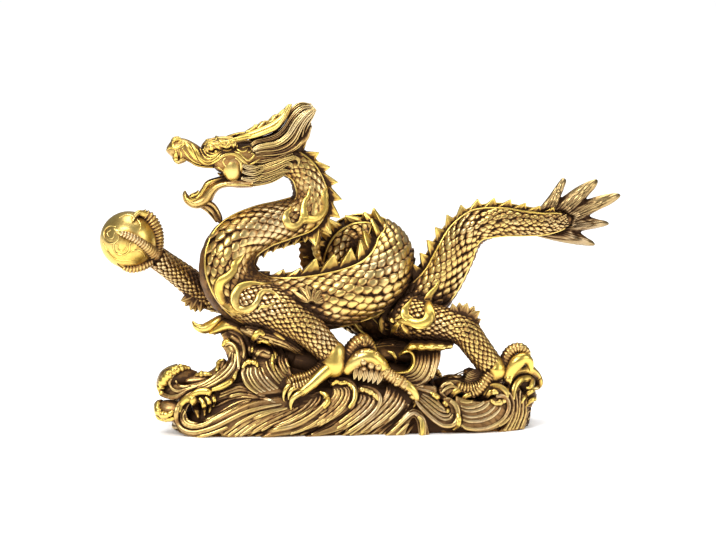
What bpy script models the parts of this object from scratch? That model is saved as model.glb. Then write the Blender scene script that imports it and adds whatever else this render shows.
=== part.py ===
"""A dragon coiled above a base of curling waves, with a pearl in its raised forepaw.

The dragon, the pearl and the waves are one brass casting, so they are one solid on a flat underside.
X runs from the pearl to the tail, Y from the front to the back and Z up. The origin lies on the underside,
below the middle of the base. The tables are in millimetres, and MM turns them into metres.
"""

import math

import bmesh
import bpy
import numpy as np
from mathutils import Vector

MM = 0.001

# The casting as a whole.
NODE_NAME = "dragon_on_waves"
VOXEL = 1.3
MOST_TRIANGLES = 9400
BRASS_COLOUR = (0.60, 0.42, 0.14, 1.0)
BRASS_ROUGHNESS = 0.35

# The base of waves: its half length, its half depth, and how fast its front leans back with height.
BASE_HALF_LENGTH = 156.0
BASE_HALF_DEPTH = 55.0
BASE_TOP_HALF_DEPTH = 8.0
BASE_LEAN_HEIGHT = 100.0
BASE_LEAN_POWER = 1.5
BASE_END_POWER = 6
BASE_BELOW_GROUND = 4.0
WAVE_THICKNESS = 6.0
WAVE_RIM_PROUD = 2.5
WAVE_ROOT_SUNK = 2.5
CURL_STEP_DEGREES = 30.0

# The mound under the waves: x, height, half depth.
MOUND = [
    (-149, 10, 20), (-146, 22, 28), (-138, 31, 37), (-125, 35, 43), (-108, 38, 46), (-88, 48, 47),
    (-60, 58, 48), (0, 60, 48), (40, 58, 48), (66, 44, 47), (88, 31, 46), (112, 31, 45),
    (130, 36, 41), (144, 30, 32), (150, 14, 22),
]
MOUND_END_BULGE = 2.0
MOUND_FULLNESS = 0.8

# The body from the back of the head to the tip of the tail: x, y, z, radius.
BODY = [
    (-48, 2, 216.5, 12), (-33, 1, 206.5, 12.5), (-25, 0, 192, 13.5), (-25, -1, 180, 15.5),
    (-32.5, -3, 170, 17), (-48, -5, 165, 17), (-69.5, -9, 160, 18), (-87.5, -12, 150, 20),
    (-95, -14, 133.5, 21.3), (-89.5, -16, 115, 22), (-69, -19, 102.5, 22), (-37, -22, 103, 23),
    (-3, -22, 108.5, 23.5), (22, -15, 117.5, 23), (35, 4, 132.5, 21.5), (30, 24, 143.5, 19.5),
    (14.5, 33, 145.5, 18.5), (1.5, 31, 136.5, 18), (-1.5, 26, 117.5, 18), (8, 21, 97.5, 19),
    (28, 13, 87, 20), (49.5, 4, 90, 20), (66.5, -1, 103.5, 19), (78.5, -1, 118.5, 18),
    (90, 0, 139.5, 17), (97.5, 0, 152, 15.5), (108, 0, 161, 14.5), (126.5, 1, 165, 13.8),
    (144, 2, 163.5, 11.8), (160.5, 3, 161.5, 9.8), (173.5, 3, 162, 7.5), (183.5, 3, 164.5, 3.5),
]

# Where the back of the body points: station of BODY, direction.
BODY_BACK = [
    (0, (0.4, 0, 1)), (1, (0.8, 0, 0.6)), (2, (1, 0, 0)), (3, (1, 0, -0.3)), (4, (0.6, 0, -0.8)),
    (5, (0.1, 0, -1)), (6, (0.3, 0, -1)), (7, (0.8, 0, -0.6)), (8, (1, 0, 0.1)), (9, (0.7, 0, 0.7)),
    (10, (0.2, 0, 1)), (13, (-0.3, 0.1, 1)), (14, (-0.6, 0, 0.8)), (15, (0, 0.3, 1)),
    (16, (-0.2, 0, 1)), (17, (-0.8, 0, 0.6)), (18, (-1, 0, 0)), (19, (-0.5, 0.9, 0)),
    (20, (0, 0.7, 0.7)), (21, (-0.4, 0.2, 0.9)), (22, (-0.7, 0, 0.7)), (24, (-0.9, 0, 0.45)),
    (25, (-0.8, 0, 0.6)), (26, (-0.5, 0, 0.87)), (27, (0, 0, 1)), (31, (0, 0, 1)),
]

# The row of spines down the back: first and last station, spacing, height, half length, half width.
SPINES = [
    (1.0, 5.0, 13.0, 9.0, 7.0, 1.8),
    (9.6, 17.8, 15.0, 11.0, 8.0, 2.0),
    (21.6, 28.4, 12.0, 6.5, 6.0, 1.6),
]
SPINE_SINK = 3.0
SPINE_SWEEP = 0.55

# The head, all in the plane y = HEAD_Y: x, y, z, half height, half width.
HEAD_Y = 1.0
SKULL = [
    (-49, 1, 217, 12, 12), (-65, 1, 217.5, 14, 14), (-78, 1, 217, 15.5, 15),
    (-91, 1, 217, 16, 14.5), (-103, 1, 220.5, 11.5, 12.5), (-112.5, 1, 220, 7.5, 9.5),
    (-121.5, 1, 222, 7.8, 8.5), (-130, 1, 225, 8.6, 8.6), (-137.5, 1, 225, 6.5, 7),
    (-140.5, 1, 224.5, 3, 3),
]
NOSE_TIP = [
    (-134, 1, 228, 5, 5), (-136.5, 1, 234, 3.5, 4),
]
UPPER_LIP = [
    (-128, 1, 217.5, 4, 6), (-133.5, 1, 214.5, 3, 5),
]
LOWER_JAW = [
    (-78, 1, 202.5, 9, 13), (-89, 1, 198.5, 6, 12), (-100.5, 1, 195.5, 5.5, 10.5),
    (-108.5, 1, 190, 5.5, 9.5), (-113.5, 1, 182.5, 5.5, 8.5), (-120, 1, 180.5, 5, 7.5),
    (-125.5, 1, 184.5, 4, 5), (-128, 1, 191, 1.5, 2),
]
BEARD = [
    (-113, -2, 180, 3), (-105.5, -3, 176.5, 2.6), (-101, -5, 172, 2.6), (-96.5, -7, 165, 3),
]

# What the head has on both sides, given for the near side.
BROW = [
    (-111.5, -7, 227.5, 2.5), (-107, -9, 232.5, 3.5), (-97.5, -10, 234, 3.5), (-87, -10, 233, 3),
]
CHEEK = [
    (-92, -12, 217.5, 8, 6), (-89, -13, 209.5, 8, 6),
]
EAR = [
    (-84, -12, 227.5, 3.5, 2.5), (-77, -15, 226.5, 3, 2), (-73.5, -16, 224, 1.5, 1),
]
HORN = [
    (-87, -8, 231, 4), (-76, -10, 235.5, 5), (-65, -12, 241, 5.5), (-54.5, -14, 245.5, 5),
    (-47.5, -15, 252, 4), (-42, -16, 261.5, 1.2),
]
HORN_TINES = [
    [(-74.5, -10, 237.5, 2.5), (-74.5, -10, 242.5, 0.8)],
    [(-65.5, -12, 244.5, 2.8), (-65.5, -12, 248.5, 0.8)],
    [(-55.5, -14, 249.5, 2.5), (-55.5, -14, 253.5, 0.8)],
]
MANE_LOCKS = [
    [
        (-79, -9, 224.5, 7, 5), (-66.5, -11, 226.5, 8.5, 5), (-54.5, -12, 230.5, 9, 5),
        (-44, -12, 238.5, 9, 5), (-36.5, -12, 249, 8, 4.5), (-30, -12, 256, 6, 3.5),
        (-25.5, -12, 259, 2, 1.5),
    ],
    [
        (-80.5, -10, 208.5, 9, 6), (-66.5, -12, 208, 10, 6), (-53, -13, 212, 9, 5.5),
        (-42.5, -13, 219, 8, 5), (-33.5, -12, 227, 6, 4), (-27, -12, 231.5, 2, 1.5),
    ],
]

# The legs: x, y, z, radius from the trunk to the wrist or ankle.
NEAR_FORELEG = [
    (-87, -24, 109, 17), (-71.5, -31, 104, 18), (-54.5, -38, 97.5, 16), (-36.5, -43, 87.5, 13),
    (-23, -44, 74.5, 10.5), (-12.5, -42, 63, 9),
]
FAR_FORELEG = [
    (-78.5, 12, 107, 15), (-95, 20, 102, 12), (-109.5, 22, 106, 10.5), (-128.5, 16, 121, 9),
    (-149.5, 8, 137, 8),
]
NEAR_HIND_LEG = [
    (44.5, -12, 91, 17), (63, -22, 85.5, 15), (81.5, -28, 83.5, 12.5), (94, -31, 79, 11),
    (103.5, -33, 67, 10), (115.5, -33, 50.5, 9),
]
FAR_HIND_LEG = [
    (46.5, 16, 92, 17), (58, 26, 86, 15), (70, 34, 78, 12.5), (72, 37, 66, 11), (64, 38, 54, 9.5),
    (58, 38, 46, 9),
]
PADS = [(-12, -44, 57.5, 10.5), (118, -33, 48.5, 9.5), (-153, 4, 140, 8.5), (56, 38, 42, 9)]

# The toes and their talons: x, y, z, radius.
TOES = [
    [
        (-17, -48, 55, 5), (-28, -51, 45.5, 5), (-40, -53, 40.5, 4.5), (-48.5, -54, 36, 4),
        (-52.5, -55, 28, 1.2),
    ],
    [
        (-14, -50, 50, 6), (-22.5, -54, 42, 5.5), (-34, -56, 35, 5), (-42, -57, 33, 4),
        (-44.5, -57, 25.5, 1.2),
    ],
    [(-4, -44, 57.5, 6), (3, -42, 65, 6), (6.5, -40, 72.5, 6), (13, -38, 76.5, 5.5), (18.5, -38, 70, 4)],
    [
        (0.5, -47, 55, 9), (13.5, -47, 59, 8.5), (24.5, -48, 54, 8), (34.5, -49, 46, 6),
        (44, -50, 41, 5), (50, -50, 33, 4), (53.5, -50, 25, 1.2),
    ],
    [
        (114.5, -36, 46.5, 6), (109.5, -39, 37, 5.5), (96.5, -40, 34, 5), (86.5, -40, 32, 4),
        (81, -40, 24, 1.2),
    ],
    [(117.5, -38, 45, 6), (110.5, -43, 33, 5), (100, -44, 30.5, 4), (94.5, -44, 23.5, 1.2)],
    [
        (123, -33, 51.5, 6), (129.5, -33, 59.5, 6), (136.5, -33, 63.5, 5.5), (143, -33, 61.5, 5),
        (148, -33, 52, 4),
    ],
    [(-156, -8, 143.5, 5), (-166.5, -17, 153.5, 4.5), (-175, -19, 159, 4), (-185, -16, 162.5, 1)],
    [
        (-151.5, 4, 143, 5.5), (-150, 2, 155, 5), (-153, 0, 166.5, 4.5), (-159.5, 0, 174, 4),
        (-166.5, 0, 175.5, 1.5),
    ],
    [(-155.5, 0, 134, 5), (-165.5, -4, 131, 4.5), (-175, -5, 130.5, 4), (-181.5, -6, 134.5, 1.5)],
    [(-150, 12, 142, 5), (-156, 24, 152, 4.5), (-166, 28, 156, 4), (-176, 27, 152, 1.5)],
    [(58, 40, 42, 5), (70, 44, 38, 5), (80, 46, 34, 4), (86, 46, 26, 1.5)],
    [(54, 40, 42, 5), (44, 46, 38, 5), (34, 48, 34, 4), (28, 48, 26, 1.5)],
    [(56, 42, 40, 5), (57, 49, 32, 4.5), (57, 52, 24, 1.5)],
]

PEARL_CENTRE = (-171.5, 5, 151.5)
PEARL_RADIUS = 23.0

# The fans of fur at the elbows and knees: root, then the tips of the leaflets.
FANS = [
    [
        (-29.5, -43, 102.5), (-42.5, -43, 117.5), (-34.5, -43, 119), (-24, -43, 118),
        (-16.5, -43, 115.5), (-16.5, -43, 107.5),
    ],
    [(-116, 22, 105.5), (-125.5, 22, 99), (-123, 22, 93.5), (-116.5, 22, 91), (-109.5, 22, 92.5)],
    [
        (91, -31, 83), (87, -31, 101), (92.5, -31, 101), (99, -31, 99), (104.5, -31, 95),
        (105.5, -31, 88.5),
    ],
    [(72, 38, 72), (84, 38, 86), (90, 38, 80), (92, 38, 72)],
]
FAN_HALF_WIDTH = 3.6
FAN_HALF_THICKNESS = 2.2

# The fin at the tip of the tail: each lobe as x, y, z, half width, half thickness.
TAIL_FIN = [
    [(161.5, 5, 165, 5, 3), (169.5, 6, 179.5, 6, 2.2), (178.5, 7, 194.5, 1.8, 1)],
    [(165.5, 5, 166, 7, 3), (188, 5, 180, 7.5, 2.2), (206, 6, 193.5, 2, 1)],
    [(165.5, 5, 165, 8, 3), (199, 4, 173.5, 7.5, 2.2), (224, 4, 182.5, 2.6, 1)],
    [(167, 5, 162, 7, 3), (195, 3, 160, 6, 2.2), (213.5, 3, 159.5, 2.4, 1)],
    [(159, 5, 153, 6, 3), (185, 2, 150, 5.5, 2.2), (203, 2, 144, 2.4, 1)],
]

# The raised flame scrolls on the neck, the shoulder and the hip: x, y, z, radius.
SCROLLS = [
    [
        (-28, -13, 192, 1.5), (-33.5, -18, 184, 4), (-26, -18, 176, 5), (-35, -20, 170, 5),
        (-45, -21, 168.5, 4), (-45.5, -21, 176, 3), (-40, -21, 178, 2),
    ],
    [
        (-81, -34, 146, 1.5), (-88, -36, 137.5, 3.5), (-93, -37, 124, 4.5), (-88.5, -40, 110.5, 5),
        (-77, -44, 103.5, 4), (-70.5, -45, 113.5, 3.5), (-78.5, -42, 121, 3),
    ],
    [
        (72, -17, 118, 1.5), (68.5, -20, 107, 3), (70.5, -26, 97.5, 4.5), (59, -36, 86, 5),
        (46.5, -33, 88, 4.5), (36.5, -30, 88, 2),
    ],
]

# The waves on the front of the base, in its front elevation. Each has the run of its rim and its root
# (x and z of the rim, x and z of the root), the curl at its end (centre x and z, radius, first angle,
# angle turned, how far it shrinks, and the root's share of the radius) and how far it stands proud.
WAVES = {
    "horn": (
        [
            (-82, 39, -89, 44), (-80.5, 54.5, -86, 57.5), (-82.5, 70, -88, 71.5),
            (-94.5, 86, -100.5, 78.5), (-108.5, 89.5, -112, 78), (-121.5, 88, -122.5, 85),
        ],
        None,
        2,
    ),
    "drop": (
        [
            (-146.5, 29, -141, 40), (-119.5, 36.5, -119.5, 44), (-97, 43.5, -108.5, 51.5),
            (-88, 54.5, -98, 60),
        ],
        (-95, 65, 9, -15, 160, 0.55, 0.25),
        4,
    ),
    "loop": ([], (-135.5, 39.5, 17, -100, -215, 0.92, 0.6), 2),
    "left_scroll": (
        [(-40.5, 14, -39.5, 33.5), (-84.5, 7.5, -84, 27), (-111, 2, -108.5, 18)],
        (-122.5, 19, 17, -95, -240, 0.8, 0.35),
        3,
    ),
    "low": (
        [(-112.5, -0.5, -110, 6.5), (-56.5, 2.5, -64.5, 17.5), (-30.5, 12.5, -41.5, 24)],
        (-25.5, 26, 10.5, -60, 200, 0.7, 0.3),
        2,
    ),
    "middle_1": (
        [(-71, -0.5, -52.5, 5), (-32.5, 2.5, -34, 14), (-8.5, 13.5, -21, 21.5)],
        (-6.5, 33.5, 13, -50, 190, 0.75, 0.3),
        3,
    ),
    "middle_2": (
        [(-31, -1, -16.5, 8), (-4.5, 1.5, -3.5, 14.5), (16, 15, 6.5, 23.5)],
        (14, 29.5, 11, -50, 190, 0.75, 0.3),
        2,
    ),
    "middle_3": (
        [(-4.5, -1.5, 1.5, 4), (20, 0.5, 14.5, 11.5), (42, 16, 27.5, 24)],
        (38.5, 30.5, 13, -45, 170, 0.8, 0.3),
        1,
    ),
    "hook": ([(28.5, -1.5, 37, -2), (37.5, 7, 43, 3.5)], (49.5, 8.5, 10.5, 175, -190, 1, 0.5), 4),
    "right_scroll": (
        [(46, 38.5, 73, 35.5), (52.5, 25, 72.5, 29), (61, 15, 72.5, 22.5)],
        (76.5, 18, 12, -150, 240, 0.8, 0.3),
        3,
    ),
    "nest": (
        [(84.5, 17, 85, 27.5), (93, 5, 93.5, 24.5), (106, 1.5, 105, 22.5)],
        (113, 19, 17.5, -80, 190, 0.75, 0.35),
        2,
    ),
    "column": (
        [(125.5, -4.5, 145.5, -4.5), (129, 12.5, 143.5, 11.5), (130, 27.5, 141, 24.5)],
        (144, 35, 13, 180, -205, 0.8, 0.35),
        1,
    ),
    "small": ([(142, 4, 136.5, 8), (144, 16.5, 139.5, 17.5)], (148.5, 22.5, 5, 180, -190, 0.8, 0.3), 0),
    "thigh": (
        [
            (45, 35, 30, 47), (61, 37, 43, 47.5), (69.5, 49, 51, 55.5), (75, 60.5, 53.5, 63),
            (84.5, 68, 57, 67.5),
        ],
        None,
        2,
    ),
    "eye": ([], (36.5, 59, 13.5, -20, -300, 0.8, 0.5), 0),
    "curl_1": (
        [(-65.5, 29, -47.5, 36), (-78.5, 34, -62, 43), (-85, 44, -71, 53)],
        (-78, 53.5, 7, 195, -180, 0.8, 0.3),
        3,
    ),
    "curl_2": (
        [(-73, 38.5, -47.5, 42.5), (-76.5, 52.5, -58.5, 55.5)],
        (-68.5, 63, 8, 200, -180, 0.8, 0.3),
        2,
    ),
    "curl_3": (
        [(-79, 48, -46.5, 53.5), (-80.5, 63, -60.5, 67.5)],
        (-70.5, 73, 9.5, 200, -180, 0.8, 0.3),
        1,
    ),
    "hollow": ([], (-35.5, 60, 27, 100, 150, 0.95, 0.5), -2),
}

# The waves that the back of the base repeats, turned round so that they run the other way.
BACK_WAVES = (
    "left_scroll", "low", "middle_1", "middle_2", "middle_3", "right_scroll", "nest", "column", "loop",
)


def spline(rows, count):
    """A smooth curve through the rows, as count rows evenly spaced in parameter."""
    rows = np.array(rows, dtype=float)
    padded = np.vstack([2 * rows[0] - rows[1], rows, 2 * rows[-1] - rows[-2]])
    place = np.linspace(0.0, len(rows) - 1.0, count)
    first = np.minimum(place.astype(int), len(rows) - 2)
    t = (place - first)[:, None]
    before, start, end, after = (padded[first + k] for k in range(4))
    return 0.5 * (
        2 * start
        + (end - before) * t
        + (2 * before - 5 * start + 4 * end - after) * t**2
        + (3 * start - before - 3 * end + after) * t**3
    )


def unit(vectors):
    """Each row at length one."""
    return vectors / np.maximum(np.linalg.norm(vectors, axis=-1, keepdims=True), 1e-9)


def back_directions(route, hint):
    """The tangents and, square to them, the hinted directions and the sides."""
    tangent = unit(np.gradient(route[:, :3], axis=0))
    back = unit(hint - np.sum(hint * tangent, axis=1, keepdims=True) * tangent)
    return tangent, back, np.cross(tangent, back)


def closed_tube(bm, centre, ring_a, ring_b, cap, around, fullness=1.0):
    """One closed body whose rings lie at centre + ring_a cos + ring_b sin, with domed ends.

    A fullness below one swells each ring from an ellipse towards its box.
    """
    steps = len(centre)
    made = bmesh.ops.create_uvsphere(bm, u_segments=around, v_segments=steps + 1, radius=1.0)
    for vert in made["verts"]:
        ring = round(math.acos(max(-1.0, min(1.0, vert.co.z))) / math.pi * (steps + 1))
        if ring == 0:
            place = centre[0] - cap[0]
        elif ring == steps + 1:
            place = centre[-1] + cap[-1]
        else:
            angle = math.atan2(vert.co.y, vert.co.x)
            cosine = math.copysign(abs(math.cos(angle)) ** fullness, math.cos(angle))
            sine = math.copysign(abs(math.sin(angle)) ** fullness, math.sin(angle))
            place = centre[ring - 1] + ring_a[ring - 1] * cosine + ring_b[ring - 1] * sine
        vert.co = Vector(place)


def limb(bm, rows, steps=None, around=12, hint=(0.0, 0.0, 1.0)):
    """A round or oval body along a route: x, y, z, radius or x, y, z, half height, half width."""
    route = spline(rows, steps or 4 * len(rows))
    directions = np.tile(np.array(hint, dtype=float), (len(route), 1))
    tangent, back, side = back_directions(route, directions)
    height = np.maximum(route[:, 3:4], 0.3)
    width = np.maximum(route[:, -1:], 0.3)
    closed_tube(bm, route[:, :3], back * height, side * width, tangent * np.minimum(height, width), around)


def mirrored(rows):
    """The same rows on the far side of the head."""
    return [(row[0], 2 * HEAD_Y - row[1], *row[2:]) for row in rows]


def body_frame(count):
    """The body's route at count places, with its tangents, back directions and sides."""
    route = spline(BODY, count)
    stations = [station for station, _ in BODY_BACK]
    ways = unit(np.array([way for _, way in BODY_BACK], dtype=float))
    place = np.linspace(0.0, len(BODY) - 1.0, count)
    hint = np.stack([np.interp(place, stations, ways[:, axis]) for axis in range(3)], axis=1)
    return route, *back_directions(route, hint)


def add_body(bm):
    """The round body from the head to the tip of the tail."""
    route, tangent, back, side = body_frame(180)
    radius = route[:, 3:4]
    closed_tube(bm, route[:, :3], back * radius, side * radius, tangent * radius, 20)


def add_spines(bm):
    """The rows of swept spines, spaced by the length of the body between them."""
    per_station = 40
    route, tangent, back, _ = body_frame((len(BODY) - 1) * per_station + 1)
    travelled = np.concatenate(
        [[0.0], np.cumsum(np.linalg.norm(np.diff(route[:, :3], axis=0), axis=1))]
    )
    for first, last, spacing, height, half_length, half_width in SPINES:
        start = travelled[round(first * per_station)]
        end = travelled[round(last * per_station)]
        for number in range(int((end - start) / spacing) + 1):
            index = int(np.searchsorted(travelled, start + number * spacing))
            foot = route[index, :3] + back[index] * (route[index, 3] - SPINE_SINK)
            rise = height + SPINE_SINK
            centre = [
                foot + back[index] * rise * up + tangent[index] * half_length * SPINE_SWEEP * up**2 * 2
                for up in (0.0, 0.45, 0.8, 1.0)
            ]
            side = np.cross(tangent[index], back[index])
            lengths = [half_length * part for part in (1.0, 0.62, 0.28, 0.08)]
            widths = [half_width * part for part in (1.0, 0.8, 0.55, 0.3)]
            closed_tube(
                bm,
                np.array(centre),
                [tangent[index] * length for length in lengths],
                [side * width for width in widths],
                [back[index] * half_width * 0.5] * len(centre),
                10,
            )


def add_head(bm):
    """The skull, the jaws, the beard, and on both sides the brow, cheek, ear, horn and mane."""
    for rows in (SKULL, NOSE_TIP, UPPER_LIP, LOWER_JAW, BEARD):
        limb(bm, rows, around=16)
    paired = [BROW, CHEEK, EAR, HORN, *HORN_TINES, *MANE_LOCKS]
    for rows in paired:
        limb(bm, rows)
        limb(bm, mirrored(rows))


def add_legs(bm):
    """The four legs with their pads and toes, and the pearl that the far forepaw holds."""
    for rows in (NEAR_FORELEG, FAR_FORELEG, NEAR_HIND_LEG, FAR_HIND_LEG):
        limb(bm, rows, around=16)
    for rows in TOES:
        limb(bm, rows, hint=(0.0, -1.0, 0.3))
    for x, y, z, radius in [*PADS, (*PEARL_CENTRE, PEARL_RADIUS)]:
        made = bmesh.ops.create_icosphere(bm, subdivisions=4, radius=radius)
        bmesh.ops.translate(bm, verts=made["verts"], vec=(x, y, z))


def add_fans(bm):
    """The leaflets at the elbows and knees, and the lobes of the tail fin."""
    for root, *tips in FANS:
        for tip in tips:
            middle = [0.45 * a + 0.55 * b for a, b in zip(root, tip)]
            rows = [
                (*root, FAN_HALF_WIDTH * 0.7, FAN_HALF_THICKNESS),
                (*middle, FAN_HALF_WIDTH, FAN_HALF_THICKNESS),
                (*tip, FAN_HALF_WIDTH * 0.3, FAN_HALF_THICKNESS * 0.4),
            ]
            limb(bm, flat_rows(rows), hint=(0.0, 1.0, 0.0))
    for rows in TAIL_FIN:
        limb(bm, flat_rows(rows), steps=16, hint=(0.0, 1.0, 0.0))


def flat_rows(rows):
    """Rows of half width and half thickness as rows of half height along Y and half width."""
    return [(x, y, z, thickness, width) for x, y, z, width, thickness in rows]


def base_front(x, z):
    """How far the wavy front of the base stands before its middle, at a place in the elevation."""
    rise = min(max(z, 0.0) / BASE_LEAN_HEIGHT, 0.99)
    lean = 1.0 - rise**BASE_LEAN_POWER
    depth = BASE_TOP_HALF_DEPTH + (BASE_HALF_DEPTH - BASE_TOP_HALF_DEPTH) * lean
    end = min(abs(x) / BASE_HALF_LENGTH, 0.995)
    return depth * math.sqrt(1.0 - end**BASE_END_POWER)


def wave_edges(run, curl):
    """The rim and the root of a wave in elevation: its run, then the spiral of its curl."""
    rim = [(row[0], row[1]) for row in run]
    root = [(row[2], row[3]) for row in run]
    if curl:
        centre_x, centre_z, radius, first_angle, turn, shrink, root_share = curl
        places = max(3, round(abs(turn) / CURL_STEP_DEGREES)) + 1
        for part in np.linspace(0.0, 1.0, places):
            angle = math.radians(first_angle + turn * part)
            reach = radius * (1.0 - (1.0 - shrink) * part)
            for line, share in ((rim, 1.0), (root, root_share)):
                line.append(
                    (centre_x + reach * share * math.cos(angle), centre_z + reach * share * math.sin(angle))
                )
    return rim, root


def add_wave(bm, run, curl, proud, side):
    """One fluted wave between its rim and its root, on the front (side -1) or the back (side 1)."""
    rim, root = wave_edges(run, curl)
    steps = 4 * len(rim)
    edges = []
    for line, lift in ((spline(rim, steps), WAVE_RIM_PROUD), (spline(root, steps), -WAVE_ROOT_SUNK)):
        depth = [side * (base_front(x, z) + proud + lift - WAVE_THICKNESS) for x, z in line]
        edges.append(np.stack([line[:, 0], depth, line[:, 1]], axis=1))
    centre = (edges[0] + edges[1]) / 2
    across = (edges[0] - edges[1]) / 2
    outward = np.tile(np.array([0.0, side * WAVE_THICKNESS, 0.0]), (steps, 1))
    along = unit(np.gradient(centre, axis=0)) * 2.0
    closed_tube(bm, centre, across, outward, along, 20)


def add_base(bm):
    """The mound and the waves over it."""
    centre = spline([(x, 0.0, 0.0) for x, _, _ in MOUND], 80)
    size = spline([(height, depth) for _, height, depth in MOUND], 80)
    upward = size[:, :1] * np.array([0.0, 0.0, 1.0])
    inward = size[:, 1:] * np.array([0.0, 1.0, 0.0])
    ends = np.tile(np.array([MOUND_END_BULGE, 0.0, 0.0]), (80, 1))
    closed_tube(bm, centre, upward, inward, ends, 48, MOUND_FULLNESS)
    for run, curl, proud in WAVES.values():
        add_wave(bm, run, curl, proud, -1.0)
    for name in BACK_WAVES:
        add_wave(bm, *WAVES[name], 1.0)


def add_scrolls(bm):
    """The flame scrolls, half sunk in the neck, the shoulder and the hip."""
    for rows in SCROLLS:
        limb(bm, rows)


def evaluated_copy(obj):
    """The object's mesh with its modifiers applied."""
    depsgraph = bpy.context.evaluated_depsgraph_get()
    return bpy.data.meshes.new_from_object(obj.evaluated_get(depsgraph))


def largest_shell(mesh):
    """Keeps the mesh's outer skin and drops the skins of the hollows that the shapes close off."""
    bm = bmesh.new()
    bm.from_mesh(mesh)
    unseen = set(bm.verts)
    shells = []
    while unseen:
        shell = set()
        edge_of_shell = [next(iter(unseen))]
        while edge_of_shell:
            vert = edge_of_shell.pop()
            if vert in shell:
                continue
            shell.add(vert)
            edge_of_shell.extend(edge.other_vert(vert) for edge in vert.link_edges)
        shells.append(shell)
        unseen -= shell
    keep = max(shells, key=len)
    bmesh.ops.delete(bm, geom=[vert for vert in bm.verts if vert not in keep], context="VERTS")
    bm.to_mesh(mesh)
    bm.free()


def underside_cutter():
    """The block below z = 0 that leaves the casting its flat underside."""
    depth = 2 * BASE_BELOW_GROUND
    mesh = bpy.data.meshes.new("underside_cutter")
    bm = bmesh.new()
    made = bmesh.ops.create_cube(bm, size=1.0)
    bmesh.ops.scale(bm, verts=made["verts"], vec=(0.6, 0.3, depth * MM))
    bmesh.ops.translate(bm, verts=made["verts"], vec=(0.0, 0.0, -depth * MM / 2))
    bm.to_mesh(mesh)
    bm.free()
    cutter = bpy.data.objects.new("underside_cutter", mesh)
    cutter.hide_render = True
    cutter.display_type = "WIRE"
    bpy.context.scene.collection.objects.link(cutter)
    return cutter


def brass():
    """The polished brass that the whole casting is made of."""
    material = bpy.data.materials.new("antique_brass")
    material.use_nodes = True
    shader = material.node_tree.nodes["Principled BSDF"]
    shader.inputs["Base Color"].default_value = BRASS_COLOUR
    shader.inputs["Metallic"].default_value = 1.0
    shader.inputs["Roughness"].default_value = BRASS_ROUGHNESS
    return material


def main():
    for obj in list(bpy.data.objects):
        bpy.data.objects.remove(obj)
    bm = bmesh.new()
    for add in (add_base, add_body, add_spines, add_head, add_legs, add_fans, add_scrolls):
        add(bm)
    for vert in bm.verts:
        vert.co.z = max(vert.co.z, -BASE_BELOW_GROUND)
    bmesh.ops.scale(bm, verts=bm.verts, vec=(MM, MM, MM))
    bmesh.ops.recalc_face_normals(bm, faces=bm.faces)
    mesh = bpy.data.meshes.new(NODE_NAME)
    bm.to_mesh(mesh)
    bm.free()
    casting = bpy.data.objects.new(NODE_NAME, mesh)
    bpy.context.scene.collection.objects.link(casting)

    fuse = casting.modifiers.new("fuse", "REMESH")
    fuse.mode = "VOXEL"
    fuse.voxel_size = VOXEL * MM
    fused = evaluated_copy(casting)
    casting.modifiers.remove(fuse)
    largest_shell(fused)
    casting.data = fused

    triangles = sum(len(polygon.vertices) - 2 for polygon in fused.polygons)
    coarsen = casting.modifiers.new("coarsen", "DECIMATE")
    coarsen.ratio = MOST_TRIANGLES / triangles
    cut = casting.modifiers.new("flat_underside", "BOOLEAN")
    cut.operation = "DIFFERENCE"
    cut.object = underside_cutter()
    casting.data.materials.clear()
    casting.data.materials.append(brass())


main()
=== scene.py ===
"""A cast brass dragon over a base of curling waves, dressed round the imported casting.

Tables are in millimetres, and MM turns them into metres. Where a table gives a place as the camera sees it, it is
in steps of SIGHT_STEP across and down the view, and Sight turns it into a place on the casting.
"""

import logging
import math
from dataclasses import dataclass, field
from enum import Enum
from typing import Callable, Iterable, Sequence

import bmesh
import bpy
import numpy as np
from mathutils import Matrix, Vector
from mathutils.bvhtree import BVHTree


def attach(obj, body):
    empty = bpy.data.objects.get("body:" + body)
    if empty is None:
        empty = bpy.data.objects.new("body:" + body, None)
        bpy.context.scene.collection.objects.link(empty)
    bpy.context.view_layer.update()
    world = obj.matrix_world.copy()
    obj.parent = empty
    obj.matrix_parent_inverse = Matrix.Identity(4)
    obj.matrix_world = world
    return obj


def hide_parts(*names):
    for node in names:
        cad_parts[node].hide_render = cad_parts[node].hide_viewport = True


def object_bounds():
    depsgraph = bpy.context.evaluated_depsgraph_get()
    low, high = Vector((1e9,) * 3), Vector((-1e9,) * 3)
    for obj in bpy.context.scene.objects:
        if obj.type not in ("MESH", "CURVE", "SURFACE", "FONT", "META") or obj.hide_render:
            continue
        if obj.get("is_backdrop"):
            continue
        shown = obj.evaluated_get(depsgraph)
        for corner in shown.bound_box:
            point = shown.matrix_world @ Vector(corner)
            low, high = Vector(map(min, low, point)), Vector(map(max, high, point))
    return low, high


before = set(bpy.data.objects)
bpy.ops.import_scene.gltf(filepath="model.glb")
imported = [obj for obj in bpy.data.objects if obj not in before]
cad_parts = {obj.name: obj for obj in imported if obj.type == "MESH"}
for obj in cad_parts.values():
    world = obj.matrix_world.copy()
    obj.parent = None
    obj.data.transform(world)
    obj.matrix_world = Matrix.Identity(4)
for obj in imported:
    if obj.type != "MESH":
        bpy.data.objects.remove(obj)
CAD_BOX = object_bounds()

logging.basicConfig(level=logging.INFO, format="%(message)s")
LOG = logging.getLogger("dragon")

MM = 0.001
NODE = "dragon_on_waves"
BODY_NAME = "root"

# The camera's view of the casting.
VIEW_AZIMUTH = math.radians(-6.0)
VIEW_ELEVATION = math.radians(8.0)
SIGHT_STEP = 0.8
SIGHT_CENTRE = (343.0, 425.2)

Rows = Sequence[Sequence[float]]


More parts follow.
